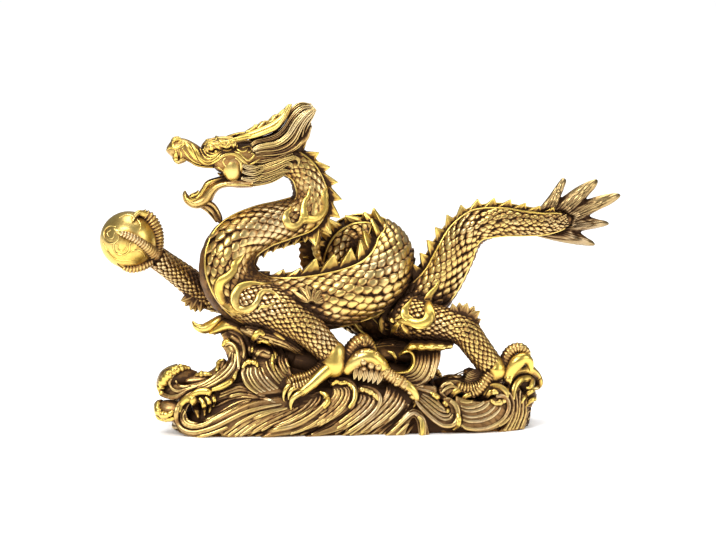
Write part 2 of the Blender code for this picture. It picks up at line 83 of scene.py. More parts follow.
class Side(Enum):
    """Which side of the casting a shape is on."""

    FRONT = -1.0
    BACK = 1.0

    @property
    def out(self) -> np.ndarray:
        """The direction out of the casting on this side."""
        return SIGHT.towards if self is Side.FRONT else np.array([0.0, 1.0, 0.0])


class Tone(Enum):
    """The layers of float data that the finish reads from each vertex."""

    RELIEF = "relief"
    # The second layer is painted shade: darker where other parts of the casting lie close before a vertex.
    PAINTED_SHADE = "painted_shade"


def spline(rows: Rows, count: int) -> np.ndarray:
    """A smooth curve through the rows.

    Args:
        rows: The values to pass through, one row each.
        count: How many rows to give back, evenly spaced in parameter.

    Returns:
        An array of count rows.
    """
    table = np.array(rows, dtype=float)
    padded = np.vstack([2 * table[0] - table[1], table, 2 * table[-1] - table[-2]])
    place = np.linspace(0.0, len(table) - 1.0, count)
    first = np.minimum(place.astype(int), len(table) - 2)
    t = (place - first)[:, None]
    before, start, end, after = (padded[first + k] for k in range(4))
    return 0.5 * (
        2 * start
        + (end - before) * t
        + (2 * before - 5 * start + 4 * end - after) * t**2
        + (3 * start - before - 3 * end + after) * t**3
    )


def unit(vectors: np.ndarray) -> np.ndarray:
    """Each row at length one."""
    return vectors / np.maximum(np.linalg.norm(vectors, axis=-1, keepdims=True), 1e-9)


def arc_length(route: np.ndarray) -> np.ndarray:
    """The distance travelled along a route at each of its rows."""
    steps = np.linalg.norm(np.diff(route[:, :3], axis=0), axis=1)
    return np.concatenate([[0.0], np.cumsum(steps)])


def frames(route: np.ndarray, hint: np.ndarray) -> tuple[np.ndarray, np.ndarray, np.ndarray]:
    """Three directions at each row of a route.

    Args:
        route: Places, one row each.
        hint: The wished second direction, one row for all or one each.

    Returns:
        The tangents, the hint made square to them, and the sides.
    """
    tangent = unit(np.gradient(route[:, :3], axis=0))
    hint = np.broadcast_to(hint, tangent.shape)
    back = unit(hint - np.sum(hint * tangent, axis=1, keepdims=True) * tangent)
    return tangent, back, np.cross(tangent, back)


# How the lowest places of the base's front are raised at its back.
FOOT_RISE = 9.5
FOOT_SHARE = 0.76


@dataclass(frozen=True)
class Sight:
    """Turns places in the camera's view into places on the casting."""

    azimuth: float = VIEW_AZIMUTH
    elevation: float = VIEW_ELEVATION

    @property
    def towards(self) -> np.ndarray:
        """The direction from the casting to the camera."""
        flat = math.cos(self.elevation)
        return np.array(
            [math.sin(self.azimuth) * flat, -math.cos(self.azimuth) * flat, math.sin(self.elevation)]
        )

    def place(self, across: np.ndarray, down: np.ndarray, depth: np.ndarray) -> np.ndarray:
        """The places seen at across and down that lie at the given depth.

        Args:
            across: Steps across the view.
            down: Steps down the view.
            depth: The y of each place.

        Returns:
            The places, one row each.
        """
        right = (np.asarray(across, dtype=float) - SIGHT_CENTRE[0]) * SIGHT_STEP
        up = (SIGHT_CENTRE[1] - np.asarray(down, dtype=float)) * SIGHT_STEP
        depth = np.asarray(depth, dtype=float)
        sin_a, cos_a = math.sin(self.azimuth), math.cos(self.azimuth)
        sin_e, cos_e = math.sin(self.elevation), math.cos(self.elevation)
        x = (right - sin_a * depth) / cos_a
        z = (up + sin_a * sin_e * x - cos_a * sin_e * depth) / cos_e
        return np.stack([x, depth + 0 * x, z], axis=-1)

    def behind(self, across: np.ndarray, down: np.ndarray) -> np.ndarray:
        """The places in the middle plane that the back repeats what is seen at across and down at.

        Args:
            across: Steps across the view.
            down: Steps down the view.

        Returns:
            The places, one row each, with the lowest ones raised to the floor.
        """
        places = self.place(across, down, np.zeros(len(across)))
        places[:, 2] = np.maximum(places[:, 2], FOOT_SHARE * (places[:, 2] + FOOT_RISE))
        return places

    def rows(self, table: Rows) -> np.ndarray:
        """Rows of across, down, depth and sizes as rows of x, y, z and sizes."""
        data = np.array(table, dtype=float)
        return np.hstack([self.place(data[:, 0], data[:, 1], data[:, 2]), data[:, 3:]])


SIGHT = Sight()


@dataclass
class Blank:
    """A closed drum of rings, and where each of its vertices lies on it."""

    mesh: bpy.types.Mesh
    ring: np.ndarray
    turn: np.ndarray
    first: np.ndarray
    last: np.ndarray


@dataclass
class Blanks:
    """Drums and balls by their sizes, each made once."""

    drums: dict[tuple[int, int], Blank] = field(default_factory=dict)
    balls: dict[int, tuple[bpy.types.Mesh, np.ndarray]] = field(default_factory=dict)

    def get(self, around: int, count: int) -> Blank:
        """A drum.

        Args:
            around: How many places each ring has.
            count: How many rings it has, at least three.

        Returns:
            The drum.
        """
        if (around, count) not in self.drums:
            bm = bmesh.new()
            bmesh.ops.create_cone(
                bm, segments=around, radius1=1.0, radius2=1.0, depth=2.0, cap_ends=True, cap_tris=True
            )
            upright = [edge for edge in bm.edges if abs(edge.verts[0].co.z - edge.verts[1].co.z) > 1.0]
            bmesh.ops.subdivide_edges(bm, edges=upright, cuts=count - 2)
            mesh, place = self.finished(bm)
            ring = np.rint((place[:, 2] + 1) / 2 * (count - 1)).astype(int)
            turn = np.rint(np.arctan2(place[:, 1], place[:, 0]) / (2 * math.pi) * around).astype(int) % around
            pole = np.hypot(place[:, 0], place[:, 1]) < 0.5
            drum = Blank(mesh, ring, turn, pole & (ring == 0), pole & (ring > 0))
            self.drums[around, count] = drum
        return self.drums[around, count]

    def ball(self, fineness: int) -> tuple[bpy.types.Mesh, np.ndarray]:
        """A ball's mesh and its places."""
        if fineness not in self.balls:
            bm = bmesh.new()
            bmesh.ops.create_icosphere(bm, subdivisions=fineness, radius=1.0)
            self.balls[fineness] = self.finished(bm)
        return self.balls[fineness]

    @staticmethod
    def finished(bm: bmesh.types.BMesh) -> tuple[bpy.types.Mesh, np.ndarray]:
        """The bmesh as a mesh whose relief is not set, and its places."""
        layer = bm.verts.layers.float.new("set_relief")
        for vert in bm.verts:
            vert[layer] = -1.0
        mesh = bpy.data.meshes.new("blank")
        bm.to_mesh(mesh)
        bm.free()
        place = np.empty(len(mesh.vertices) * 3)
        mesh.vertices.foreach_get("co", place)
        return mesh, place.reshape(-1, 3)


BLANKS = Blanks()


@dataclass
class Carving:
    """Collects closed shapes, in millimetres, and makes one piece of them."""

    name: str
    bm: bmesh.types.BMesh = field(default_factory=bmesh.new)

    def __post_init__(self) -> None:
        """Adds the layer that holds the relief of vertices whose shape sets it."""
        self.bm.verts.layers.float.new("set_relief")

    def skin(self, rings: np.ndarray, start: np.ndarray, end: np.ndarray) -> None:
        """Wraps a ball's mesh over rings of places.

        Args:
            rings: An array of rings by places by three.
            start: The place that closes the first ring.
            end: The place that closes the last ring.
        """
        count, around = rings.shape[:2]
        blank = BLANKS.get(around, count)
        places = rings[blank.ring, blank.turn]
        places[blank.first] = start
        places[blank.last] = end
        mesh = blank.mesh.copy()
        mesh.vertices.foreach_set("co", places.astype(np.float32).ravel())
        self.bm.from_mesh(mesh)
        bpy.data.meshes.remove(mesh)

    def tube(
        self,
        centre: np.ndarray,
        ring_a: np.ndarray,
        ring_b: np.ndarray,
        around: int = 12,
        relief: np.ndarray | float = 1.0,
        cap: float = 0.6,
    ) -> None:
        """A closed tube with oval rings.

        Args:
            centre: The middle of each ring.
            ring_a: Each ring's first half axis.
            ring_b: Each ring's second half axis.
            around: How many places each ring has.
            relief: What each place's distance is multiplied by.
            cap: How far the ends bulge, in ring sizes.
        """
        angle = np.linspace(0.0, 2 * math.pi, around, endpoint=False)
        reach = ring_a[:, None] * np.cos(angle)[None, :, None] + ring_b[:, None] * np.sin(angle)[None, :, None]
        rings = centre[:, None] + reach * np.asarray(relief)[..., None]
        bulge = cap * np.minimum(np.linalg.norm(ring_a, axis=1), np.linalg.norm(ring_b, axis=1))
        tangent = unit(np.gradient(centre, axis=0))
        self.skin(rings, centre[0] - tangent[0] * bulge[0], centre[-1] + tangent[-1] * bulge[-1])

    def limb(
        self,
        rows: Rows,
        steps: int | None = None,
        around: int = 12,
        hint: Sequence[float] = (0.0, 0.0, 1.0),
        ribs: tuple[float, float] | None = None,
    ) -> None:
        """A tapered body along a route.

        Args:
            rows: x, y, z, radius, or x, y, z, half height, half width.
            steps: How many rings it has.
            around: How many places each ring has.
            hint: Which way its height lies.
            ribs: The spacing and the share of the radius of the ribs across it.
        """
        route = spline(rows, steps or 5 * len(rows))
        if ribs:
            length = arc_length(route)[-1]
            route = spline(rows, max(12, round(length / ribs[0] * 4)))
        _, back, side = frames(route, np.array(hint, dtype=float))
        height = np.maximum(route[:, 3:4], 0.25)
        width = np.maximum(route[:, -1:], 0.25)
        relief: np.ndarray | float = 1.0
        if ribs:
            wave = np.cos(arc_length(route) / ribs[0] * 2 * math.pi)
            relief = np.repeat(1.0 + ribs[1] * wave[:, None], around, axis=1)
        self.tube(route[:, :3], back * height, side * width, around, relief)

    def ball(self, centre: Sequence[float], radius: Sequence[float] | float, fineness: int = 3) -> None:
        """A round or oval body."""
        blank, place = BLANKS.ball(fineness)
        mesh = blank.copy()
        place = place * np.array(radius, dtype=float) + np.array(centre, dtype=float)
        mesh.vertices.foreach_set("co", place.astype(np.float32).ravel())
        self.bm.from_mesh(mesh)
        bpy.data.meshes.remove(mesh)

    def sheet(
        self,
        rim: np.ndarray,
        root: np.ndarray,
        lift: Callable[[np.ndarray, np.ndarray], np.ndarray],
        dish: float,
        thickness: float,
    ) -> None:
        """A dished sheet between two edges, thick enough to be a closed body.

        Args:
            rim: The places of the outer edge.
            root: The places of the inner edge, as many as the rim has.
            lift: Moves places outwards by a distance each.
            dish: How deep the sheet is hollowed.
            thickness: How far it reaches inwards.
        """
        fade = np.sin(np.linspace(0.06, 0.94, len(rim)) * math.pi) ** 0.3
        sides = []
        for share in (np.linspace(0.0, 1.0, 9), np.linspace(1.0, 0.0, 4)):
            spread = rim[:, None] * (1 - share[None, :, None]) + root[:, None] * share[None, :, None]
            front = -dish * (np.sin(math.pi * share**0.75) + 0.5 * share)[None, :] * fade[:, None]
            sides.append(lift(spread, front if share[0] == 0.0 else np.full(front.shape, -thickness)))
        rings = np.concatenate(sides, axis=1)
        self.skin(rings, rings[0].mean(axis=0), rings[-1].mean(axis=0))

    def shell(self, voxel: float, smooth: int = 2) -> None:
        """Fuses everything so far into one smooth skin.

        Args:
            voxel: The grid's spacing.
            smooth: How many times the skin is relaxed.
        """
        mesh = bpy.data.meshes.new("fusing")
        self.bm.to_mesh(mesh)
        obj = bpy.data.objects.new("fusing", mesh)
        bpy.context.scene.collection.objects.link(obj)
        fuse = obj.modifiers.new("fuse", "REMESH")
        fuse.mode = "VOXEL"
        fuse.voxel_size = voxel
        relax = obj.modifiers.new("relax", "SMOOTH")
        relax.factor = 0.5
        relax.iterations = smooth
        depsgraph = bpy.context.evaluated_depsgraph_get()
        fused = bpy.data.meshes.new_from_object(obj.evaluated_get(depsgraph))
        bpy.data.objects.remove(obj)
        self.bm.clear()
        self.bm.from_mesh(fused)
        layers = self.bm.verts.layers.float
        layer = layers.get("set_relief") or layers.new("set_relief")
        for vert in self.bm.verts:
            vert[layer] = -1.0

    def tree(self) -> BVHTree:
        """The skin so far, to lay other shapes on."""
        return BVHTree.FromBMesh(self.bm)

    def piece(self, material: bpy.types.Material) -> bpy.types.Object:
        """Makes the piece, in metres, and gives it to the casting's body.

        Args:
            material: The piece's finish.

        Returns:
            The new object.
        """
        for vert in self.bm.verts:
            vert.co.z = max(vert.co.z, 0.0)
        bmesh.ops.scale(self.bm, verts=self.bm.verts, vec=(MM, MM, MM))
        bmesh.ops.recalc_face_normals(self.bm, faces=self.bm.faces)
        for face in self.bm.faces:
            face.smooth = True
        mesh = bpy.data.meshes.new(self.name)
        self.bm.to_mesh(mesh)
        self.bm.free()
        mesh.materials.append(material)
        obj = bpy.data.objects.new(self.name, mesh)
        bpy.context.scene.collection.objects.link(obj)
        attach(obj, BODY_NAME)
        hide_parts(NODE)
        triangles = sum(len(polygon.vertices) - 2 for polygon in mesh.polygons)
        LOG.info("%s: %d triangles", self.name, triangles)
        return obj


class Group:
    """Builds a shader node group."""

    def __init__(self, name: str) -> None:
        """Starts an empty group."""
        self.tree = bpy.data.node_groups.new(name, "ShaderNodeTree")
        self.source = self.tree.nodes.new("NodeGroupInput")
        self.sink = self.tree.nodes.new("NodeGroupOutput")

    def takes(self, name: str, kind: str, value: object = None) -> None:
        """Adds an input socket with its usual value."""
        socket = self.tree.interface.new_socket(name, in_out="INPUT", socket_type=kind)
        if value is not None:
            socket.default_value = value

    def gives(self, name: str, kind: str) -> None:
        """Adds an output socket."""
        self.tree.interface.new_socket(name, in_out="OUTPUT", socket_type=kind)

    def math(self, operation: str, first: object, second: object = 0.0, clamp: bool = False) -> object:
        """A math node's result."""
        node = self.tree.nodes.new("ShaderNodeMath")
        node.operation = operation
        node.use_clamp = clamp
        for socket, value in zip(node.inputs, (first, second)):
            self.feed(socket, value)
        return node.outputs[0]

    def feed(self, socket: bpy.types.NodeSocket, value: object) -> None:
        """Links or sets a socket."""
        if isinstance(value, bpy.types.NodeSocket):
            self.tree.links.new(value, socket)
        else:
            socket.default_value = value

    def noise(self, scale: float, detail: float, roughness: float = 0.5) -> object:
        """A noise over Object coordinates, in features per metre."""
        where = self.tree.nodes.new("ShaderNodeTexCoord")
        node = self.tree.nodes.new("ShaderNodeTexNoise")
        node.inputs["Scale"].default_value = scale
        node.inputs["Detail"].default_value = detail
        node.inputs["Roughness"].default_value = roughness
        self.tree.links.new(where.outputs["Object"], node.inputs["Vector"])
        return node.outputs["Fac"]

    def ramp(self, value: object, low: float, high: float) -> object:
        """A soft step from 0 at low to 1 at high."""
        node = self.tree.nodes.new("ShaderNodeMapRange")
        node.interpolation_type = "SMOOTHSTEP"
        self.feed(node.inputs["Value"], value)
        node.inputs["From Min"].default_value = low
        node.inputs["From Max"].default_value = high
        return node.outputs["Result"]

    def blend(self, share: object, first: object, second: object) -> object:
        """A mix of two colours."""
        node = self.tree.nodes.new("ShaderNodeMix")
        node.data_type = "RGBA"
        self.feed(node.inputs["Factor"], share)
        self.feed(node.inputs["A"], first)
        self.feed(node.inputs["B"], second)
        return node.outputs["Result"]

    def out(self, name: str, value: object) -> None:
        """Feeds an output socket."""
        self.tree.links.new(value, self.sink.inputs[name])


def aged_and_shaded_brass_group() -> bpy.types.NodeTree:
    """Brass that is rubbed bright where it stands out, dark in its hollows, and darkened by painted shade where other
    parts lie close before it.

    Returns:
        The node group.
    """
    group = Group("aged_and_shaded_brass")
    for name, kind, value in (
        ("Relief", "NodeSocketFloat", 0.5),
        ("PaintedShade", "NodeSocketFloat", 0.0),
        ("TarnishAndShade", "NodeSocketFloat", 0.0),
        ("Bright", "NodeSocketColor", None),
        ("Aged", "NodeSocketColor", None),
        ("Dark", "NodeSocketColor", None),
        ("Pale", "NodeSocketColor", None),
    ):
        group.takes(name, kind, value)
    for name, kind in (
        ("Color", "NodeSocketColor"),
        ("Roughness", "NodeSocketFloat"),
        ("Metallic", "NodeSocketFloat"),
        ("Height", "NodeSocketFloat"),
    ):
        group.gives(name, kind)
    inputs = group.source.outputs
    clouds = group.noise(70.0, 3.0, 0.6)
    specks = group.noise(520.0, 4.0, 0.65)
    grain = group.noise(2600.0, 2.0, 0.5)
    # Rubbed wear from the relief and the noise, less the painted shade where parts lie close before the vertex and less
    # each finish's darkening offset, which is painted shade for the core finish.
    wear_and_shade = group.math("ADD", inputs["Relief"], group.math("MULTIPLY", group.math("SUBTRACT", clouds, 0.5), 0.35))
    wear_and_shade = group.math("ADD", wear_and_shade, group.math("MULTIPLY", group.math("SUBTRACT", specks, 0.5), 0.30))
    wear_and_shade = group.math("SUBTRACT", wear_and_shade, inputs["PaintedShade"])
    wear_and_shade = group.math("SUBTRACT", wear_and_shade, inputs["TarnishAndShade"])
    lit = group.ramp(wear_and_shade, 0.02, 0.42)
    rubbed = group.ramp(wear_and_shade, 0.38, 0.80)
    colour = group.blend(lit, inputs["Dark"], inputs["Aged"])
    washed = group.ramp(group.noise(24.0, 2.0, 0.5), 0.45, 0.70)
    colour = group.blend(rubbed, colour, group.blend(washed, inputs["Bright"], inputs["Pale"]))
    group.out("Color", colour)
    rough = group.math("SUBTRACT", 0.62, group.math("MULTIPLY", lit, 0.16))
    rough = group.math("SUBTRACT", rough, group.math("MULTIPLY", rubbed, 0.16))
    rough = group.math("ADD", rough, group.math("MULTIPLY", group.math("SUBTRACT", specks, 0.5), 0.18))
    group.out("Roughness", rough)
    group.out("Metallic", group.math("ADD", 0.7, group.math("MULTIPLY", lit, 0.3), clamp=True))
    height = group.math("ADD", group.math("MULTIPLY", specks, 0.7), group.math("MULTIPLY", grain, 0.3))
    group.out("Height", height)
    return group.tree


@dataclass(frozen=True)
class Finish:
    """One finish of the brass, by its four colours and how far it is darkened or brightened overall; the core finish's
    darkening is painted shade.
    """

    name: str
    bright: tuple[float, float, float] = (0.79, 0.565, 0.18)
    pale: tuple[float, float, float] = (0.76, 0.59, 0.31)
    aged: tuple[float, float, float] = (0.37, 0.19, 0.060)
    dark: tuple[float, float, float] = (0.056, 0.024, 0.008)
    # Darkens the whole finish; for the core finish it is painted shade in the gaps and hollows, and below zero it
    # brightens a polished finish.
    tarnish_and_shade: float = 0.0
    bump_mm: float = 0.10

    def material(self, group: bpy.types.NodeTree) -> bpy.types.Material:
        """The finish as a material.

        Args:
            group: The aged brass group.

        Returns:
            The material.
        """
        material = bpy.data.materials.new(self.name)
        material.use_nodes = True
        nodes, links = material.node_tree.nodes, material.node_tree.links
        shader = nodes["Principled BSDF"]
        aged = nodes.new("ShaderNodeGroup")
        aged.node_tree = group
        aged.inputs["TarnishAndShade"].default_value = self.tarnish_and_shade
        for name in ("Bright", "Pale", "Aged", "Dark"):
            aged.inputs[name].default_value = (*getattr(self, name.lower()), 1.0)
        # Both layers feed the group: the relief, and the painted shade.
        for tone, socket in ((Tone.RELIEF, "Relief"), (Tone.PAINTED_SHADE, "PaintedShade")):
            layer = nodes.new("ShaderNodeAttribute")
            layer.attribute_name = tone.value
            links.new(layer.outputs["Fac"], aged.inputs[socket])
        bump = nodes.new("ShaderNodeBump")
        bump.inputs["Strength"].default_value = 0.55
        bump.inputs["Distance"].default_value = self.bump_mm * MM
        links.new(aged.outputs["Height"], bump.inputs["Height"])
        links.new(aged.outputs["Color"], shader.inputs["Base Color"])
        links.new(aged.outputs["Roughness"], shader.inputs["Roughness"])
        links.new(aged.outputs["Metallic"], shader.inputs["Metallic"])
        links.new(bump.outputs["Normal"], shader.inputs["Normal"])
        return material


FINISHES = {
    "hide": Finish("scale_brass"),
    "gold": Finish("rubbed_brass", bright=(0.86, 0.61, 0.14), pale=(0.84, 0.63, 0.21), aged=(0.48, 0.27, 0.065), tarnish_and_shade=-0.18),
    "wave": Finish("wave_brass", bright=(0.74, 0.53, 0.18), pale=(0.71, 0.54, 0.31), aged=(0.35, 0.19, 0.072), tarnish_and_shade=0.0),
    "hair": Finish("strand_brass", bright=(0.73, 0.525, 0.18), aged=(0.33, 0.18, 0.066), tarnish_and_shade=0.02),
    "fin": Finish("fin_brass", bright=(0.50, 0.35, 0.15), pale=(0.46, 0.345, 0.21), aged=(0.31, 0.19, 0.085), tarnish_and_shade=-0.16),
    # The cores, the ground and the web lie in the gaps and hollows behind the other parts, and are darkened as painted
    # shade.
    "core": Finish("shaded_recess_brass", tarnish_and_shade=0.34),
}


@dataclass
class PatinaAndShade:
    """Measures how far each vertex stands out, for rubbed wear and patina, and how closely other parts lie before it,
    for painted shade, for the finishes to read.
    """

    cell: float = 1.5
    near_reach: float = 3.0
    far_reach: float = 9.0
    near_weight: float = 0.82
    far_weight: float = 0.98
    relief_gain: float = 1.6

    def relief(self, mesh: bpy.types.Mesh) -> np.ndarray:
        """How far each vertex stands out from its neighbours, from 0 to 1.

        Args:
            mesh: A piece's mesh, in metres.

        Returns:
            One value for each vertex.
        """
        count = len(mesh.vertices)
        places = np.empty(count * 3)
        mesh.vertices.foreach_get("co", places)
        places = places.reshape(-1, 3) / MM
        normals = np.empty(count * 3)
        mesh.vertices.foreach_get("normal", normals)
        normals = normals.reshape(-1, 3)
        edges = np.empty(len(mesh.edges) * 2, dtype=np.int64)
        mesh.edges.foreach_get("vertices", edges)
        a, b = edges.reshape(-1, 2).T
        way = places[b] - places[a]
        square = np.maximum(np.sum(way * way, axis=1), 1e-3)
        total = np.zeros(count)
        hits = np.zeros(count)
        for start, towards in ((a, way), (b, -way)):
            bend = -2.0 * np.sum(normals[start] * towards, axis=1) / square
            total += np.bincount(start, weights=bend, minlength=count)
            hits += np.bincount(start, minlength=count)
        value = total / np.maximum(hits, 1)
        for _ in range(2):
            value = self.relaxed(value, a, b, hits)
        return 0.5 + 0.5 * np.tanh(value * self.relief_gain)

    @staticmethod
    def relaxed(value: np.ndarray, a: np.ndarray, b: np.ndarray, hits: np.ndarray) -> np.ndarray:
        """Each vertex's value mixed with the mean of its neighbours'."""
        count = len(value)
        around = np.bincount(a, weights=value[b], minlength=count)
        around += np.bincount(b, weights=value[a], minlength=count)
        return 0.5 * value + 0.5 * around / np.maximum(hits, 1)

    def dress(self, objects: Iterable[bpy.types.Object]) -> None:
        """Writes both layers on every piece.

        Args:
            objects: All the pieces, which cast painted shade on each other.
        """
        objects = list(objects)
        samples, areas = [], []
        for obj in objects:
            count = len(obj.data.polygons)
            centre = np.empty(count * 3)
            area = np.empty(count)
            obj.data.polygons.foreach_get("center", centre)
            obj.data.polygons.foreach_get("area", area)
            samples.append(centre.reshape(-1, 3) / MM)
            areas.append(area / MM**2)
        places, area = np.concatenate(samples), np.concatenate(areas)
        margin = 3 * self.far_reach
        low = places.min(axis=0) - margin
        shape = np.ceil((places.max(axis=0) + margin - low) / self.cell).astype(int)
        index = np.floor((places - low) / self.cell).astype(int)
        flat = np.ravel_multi_index(index.T, shape)
        grid = np.bincount(flat, weights=area, minlength=int(np.prod(shape))).reshape(shape)
        fields = [
            (self.near_reach, self.near_weight, self.blurred(grid, 1)),
            (self.far_reach, self.far_weight, self.blurred(grid, 3)),
        ]
        for obj in objects:
            self.write(obj.data, low, shape, fields)

    def blurred(self, grid: np.ndarray, radius: int) -> np.ndarray:
        """The grid's mean over a box of the given radius in cells, twice over, as area per volume."""
        for _ in range(2):
            for axis in range(3):
                total = np.cumsum(grid, axis=axis)
                ahead = np.roll(total, -radius, axis=axis)
                behind = np.roll(total, radius + 1, axis=axis)
                grid = (ahead - behind) / (2 * radius + 1)
        return grid / self.cell**3

    def write(self, mesh: bpy.types.Mesh, low: np.ndarray, shape: np.ndarray, fields: list) -> None:
        """Writes one piece's layers.

        Args:
            mesh: The piece's mesh.
            low: The grid's lowest corner.
            shape: How many cells the grid has.
            fields: The reach, weight and grid of each look ahead.
        """
        count = len(mesh.vertices)
        places, normals = np.empty(count * 3), np.empty(count * 3)
        mesh.vertices.foreach_get("co", places)
        mesh.vertices.foreach_get("normal", normals)
        places, normals = places.reshape(-1, 3) / MM, normals.reshape(-1, 3)
        # Painted shade: the share of the casting that lies close before each vertex, looked for near and far.
        painted_shade = np.zeros(count)
        for reach, weight, grid in fields:
            ahead = places + normals * reach
            index = np.clip(np.floor((ahead - low) / self.cell).astype(int), 0, shape - 1)
            density = grid[index[:, 0], index[:, 1], index[:, 2]]
            painted_shade += weight * np.clip(density * reach * 0.5 - 0.12, 0.0, 1.0)
        relief = self.relief(mesh)
        set_relief = np.empty(count)
        mesh.attributes["set_relief"].data.foreach_get("value", set_relief)
        relief = np.where(set_relief >= 0, set_relief, relief)
        mesh.attributes.remove(mesh.attributes["set_relief"])
        for tone, value in ((Tone.RELIEF, relief), (Tone.PAINTED_SHADE, np.clip(painted_shade, 0.0, 1.0))):
            layer = mesh.attributes.new(tone.value, "FLOAT", "POINT")
            layer.data.foreach_set("value", value.astype(np.float32))


# The body from the back of the head to the tip of the tail: x, y, z, radius.
BODY = [
    (-48, 2, 216.5, 12), (-33, 1, 206.5, 12.5), (-26, 0, 192, 14.4), (-26, -1, 180, 16.4),
    (-32.5, -3, 170, 17), (-48, -5, 165, 17), (-69.5, -9, 160, 18), (-87.5, -12, 150, 20),
    (-95, -14, 133.5, 21.3), (-89.5, -16, 115, 22), (-69, -19, 102.5, 22), (-37, -22, 103, 23),
    (-3, -22, 108.5, 23.5), (22, -15, 117.5, 23), (35, 4, 132.5, 21.5), (30, 24, 143.5, 19.5),
    (14.5, 33, 145.5, 18.5), (1.5, 31, 136.5, 18), (-1.5, 26, 117.5, 18), (8, 21, 97.5, 19),
    (28, 13, 87, 20), (49.5, 4, 90, 20), (66.5, -1, 103.5, 19), (78.5, -1, 118.5, 18),
    (90, 0, 139.5, 17), (97.5, 0, 151.5, 15), (108.5, 0, 160, 13.8), (126.5, 1, 163.5, 12.4),
    (144, 2, 162.3, 10.8), (160.5, 3, 161, 9.2), (173.5, 3, 161.8, 7.2), (183.5, 3, 164, 3.5),
]

# Where the back of the body points: station of BODY, direction.
BODY_BACK = [
    (0, (0.45, -0.2, 0.9)), (1, (0.7, -0.35, 0.65)), (2, (0.87, -0.4, 0.29)), (3, (0.85, -0.47, -0.23)),
    (4, (0.53, -0.52, -0.67)), (5, (0.3, -0.51, -0.81)), (6, (0.38, -0.37, -0.85)), (7, (0.73, -0.17, -0.67)),
    (8, (1, 0.04, -0.06)), (9, (0.77, 0.17, 0.62)), (10, (0.23, 0.09, 0.97)), (11, (-0.1, -0.15, 0.98)),
    (12, (-0.21, -0.19, 0.96)), (13, (-0.43, -0.19, 0.88)), (14, (-0.58, -0.2, 0.74)), (15, (-0.15, -0.15, 1)),
    (16, (-0.35, -0.35, 0.85)), (17, (-0.75, -0.45, 0.45)), (18, (-0.9, -0.4, 0.1)), (19, (-0.7, 0.6, -0.1)),
    (20, (0.1, 0.9, 0.3)), (21, (-0.3, 0.35, 0.9)), (22, (-0.7, -0.2, 0.67)), (23, (-0.8, -0.29, 0.53)),
    (24, (-0.84, -0.25, 0.48)), (25, (-0.76, -0.12, 0.64)), (26, (-0.41, -0.07, 0.91)), (27, (-0.05, -0.3, 0.95)),
    (28, (0.12, -0.35, 0.93)), (29, (0.06, -0.33, 0.94)), (30, (-0.13, -0.21, 0.97)), (31, (-0.24, -0.21, 0.95)),
]


@dataclass
class Hide:
    """A scaled tube: a route with radii and the way its back points at each place."""

    route: np.ndarray
    back: np.ndarray
    tangent: np.ndarray = field(init=False)
    side: np.ndarray = field(init=False)
    length: np.ndarray = field(init=False)

    def __post_init__(self) -> None:
        """Works out the directions along the route."""
        self.tangent, self.back, self.side = frames(self.route, self.back)
        self.length = arc_length(self.route)

    def at(self, travelled: np.ndarray, angle: np.ndarray, lift: float = 0.0) -> tuple[np.ndarray, ...]:
        """Places on the hide.

        Args:
            travelled: The distance along the route.
            angle: The turn from the back towards the side, in radians.
            lift: How far above the hide.

        Returns:
            The places, the tangents, the directions round the tube and the outward directions.
        """
        def along(values: np.ndarray) -> np.ndarray:
            """The values at the distances."""
            return np.stack([np.interp(travelled, self.length, values[:, k]) for k in range(values.shape[1])], axis=1)

        place, tangent, back, side = (along(v) for v in (self.route, self.tangent, self.back, self.side))
        tangent, back, side = unit(tangent), unit(back), unit(side)
        outward = back * np.cos(angle)[:, None] + side * np.sin(angle)[:, None]
        around = side * np.cos(angle)[:, None] - back * np.sin(angle)[:, None]
        return place[:, :3] + outward * (place[:, 3:4] + lift), tangent, around, outward

    def cord(self, carving: Carving, travelled: np.ndarray, angle: np.ndarray, radius: float, lift: float) -> None:
        """A thin cord along the hide.

        Args:
            carving: Where it goes.
            travelled: The distances along the route of its places.
            angle: The turn from the back at each of them, in degrees.
            radius: How thick it is.
            lift: How far above the hide its middle runs.
        """
        centre, _, around, outward = self.at(travelled, np.radians(angle), lift)
        size = radius * np.sin(np.linspace(0.08, 0.92, len(travelled)) * math.pi)[:, None] ** 0.25
        carving.tube(centre, outward * size, around * size, 8)


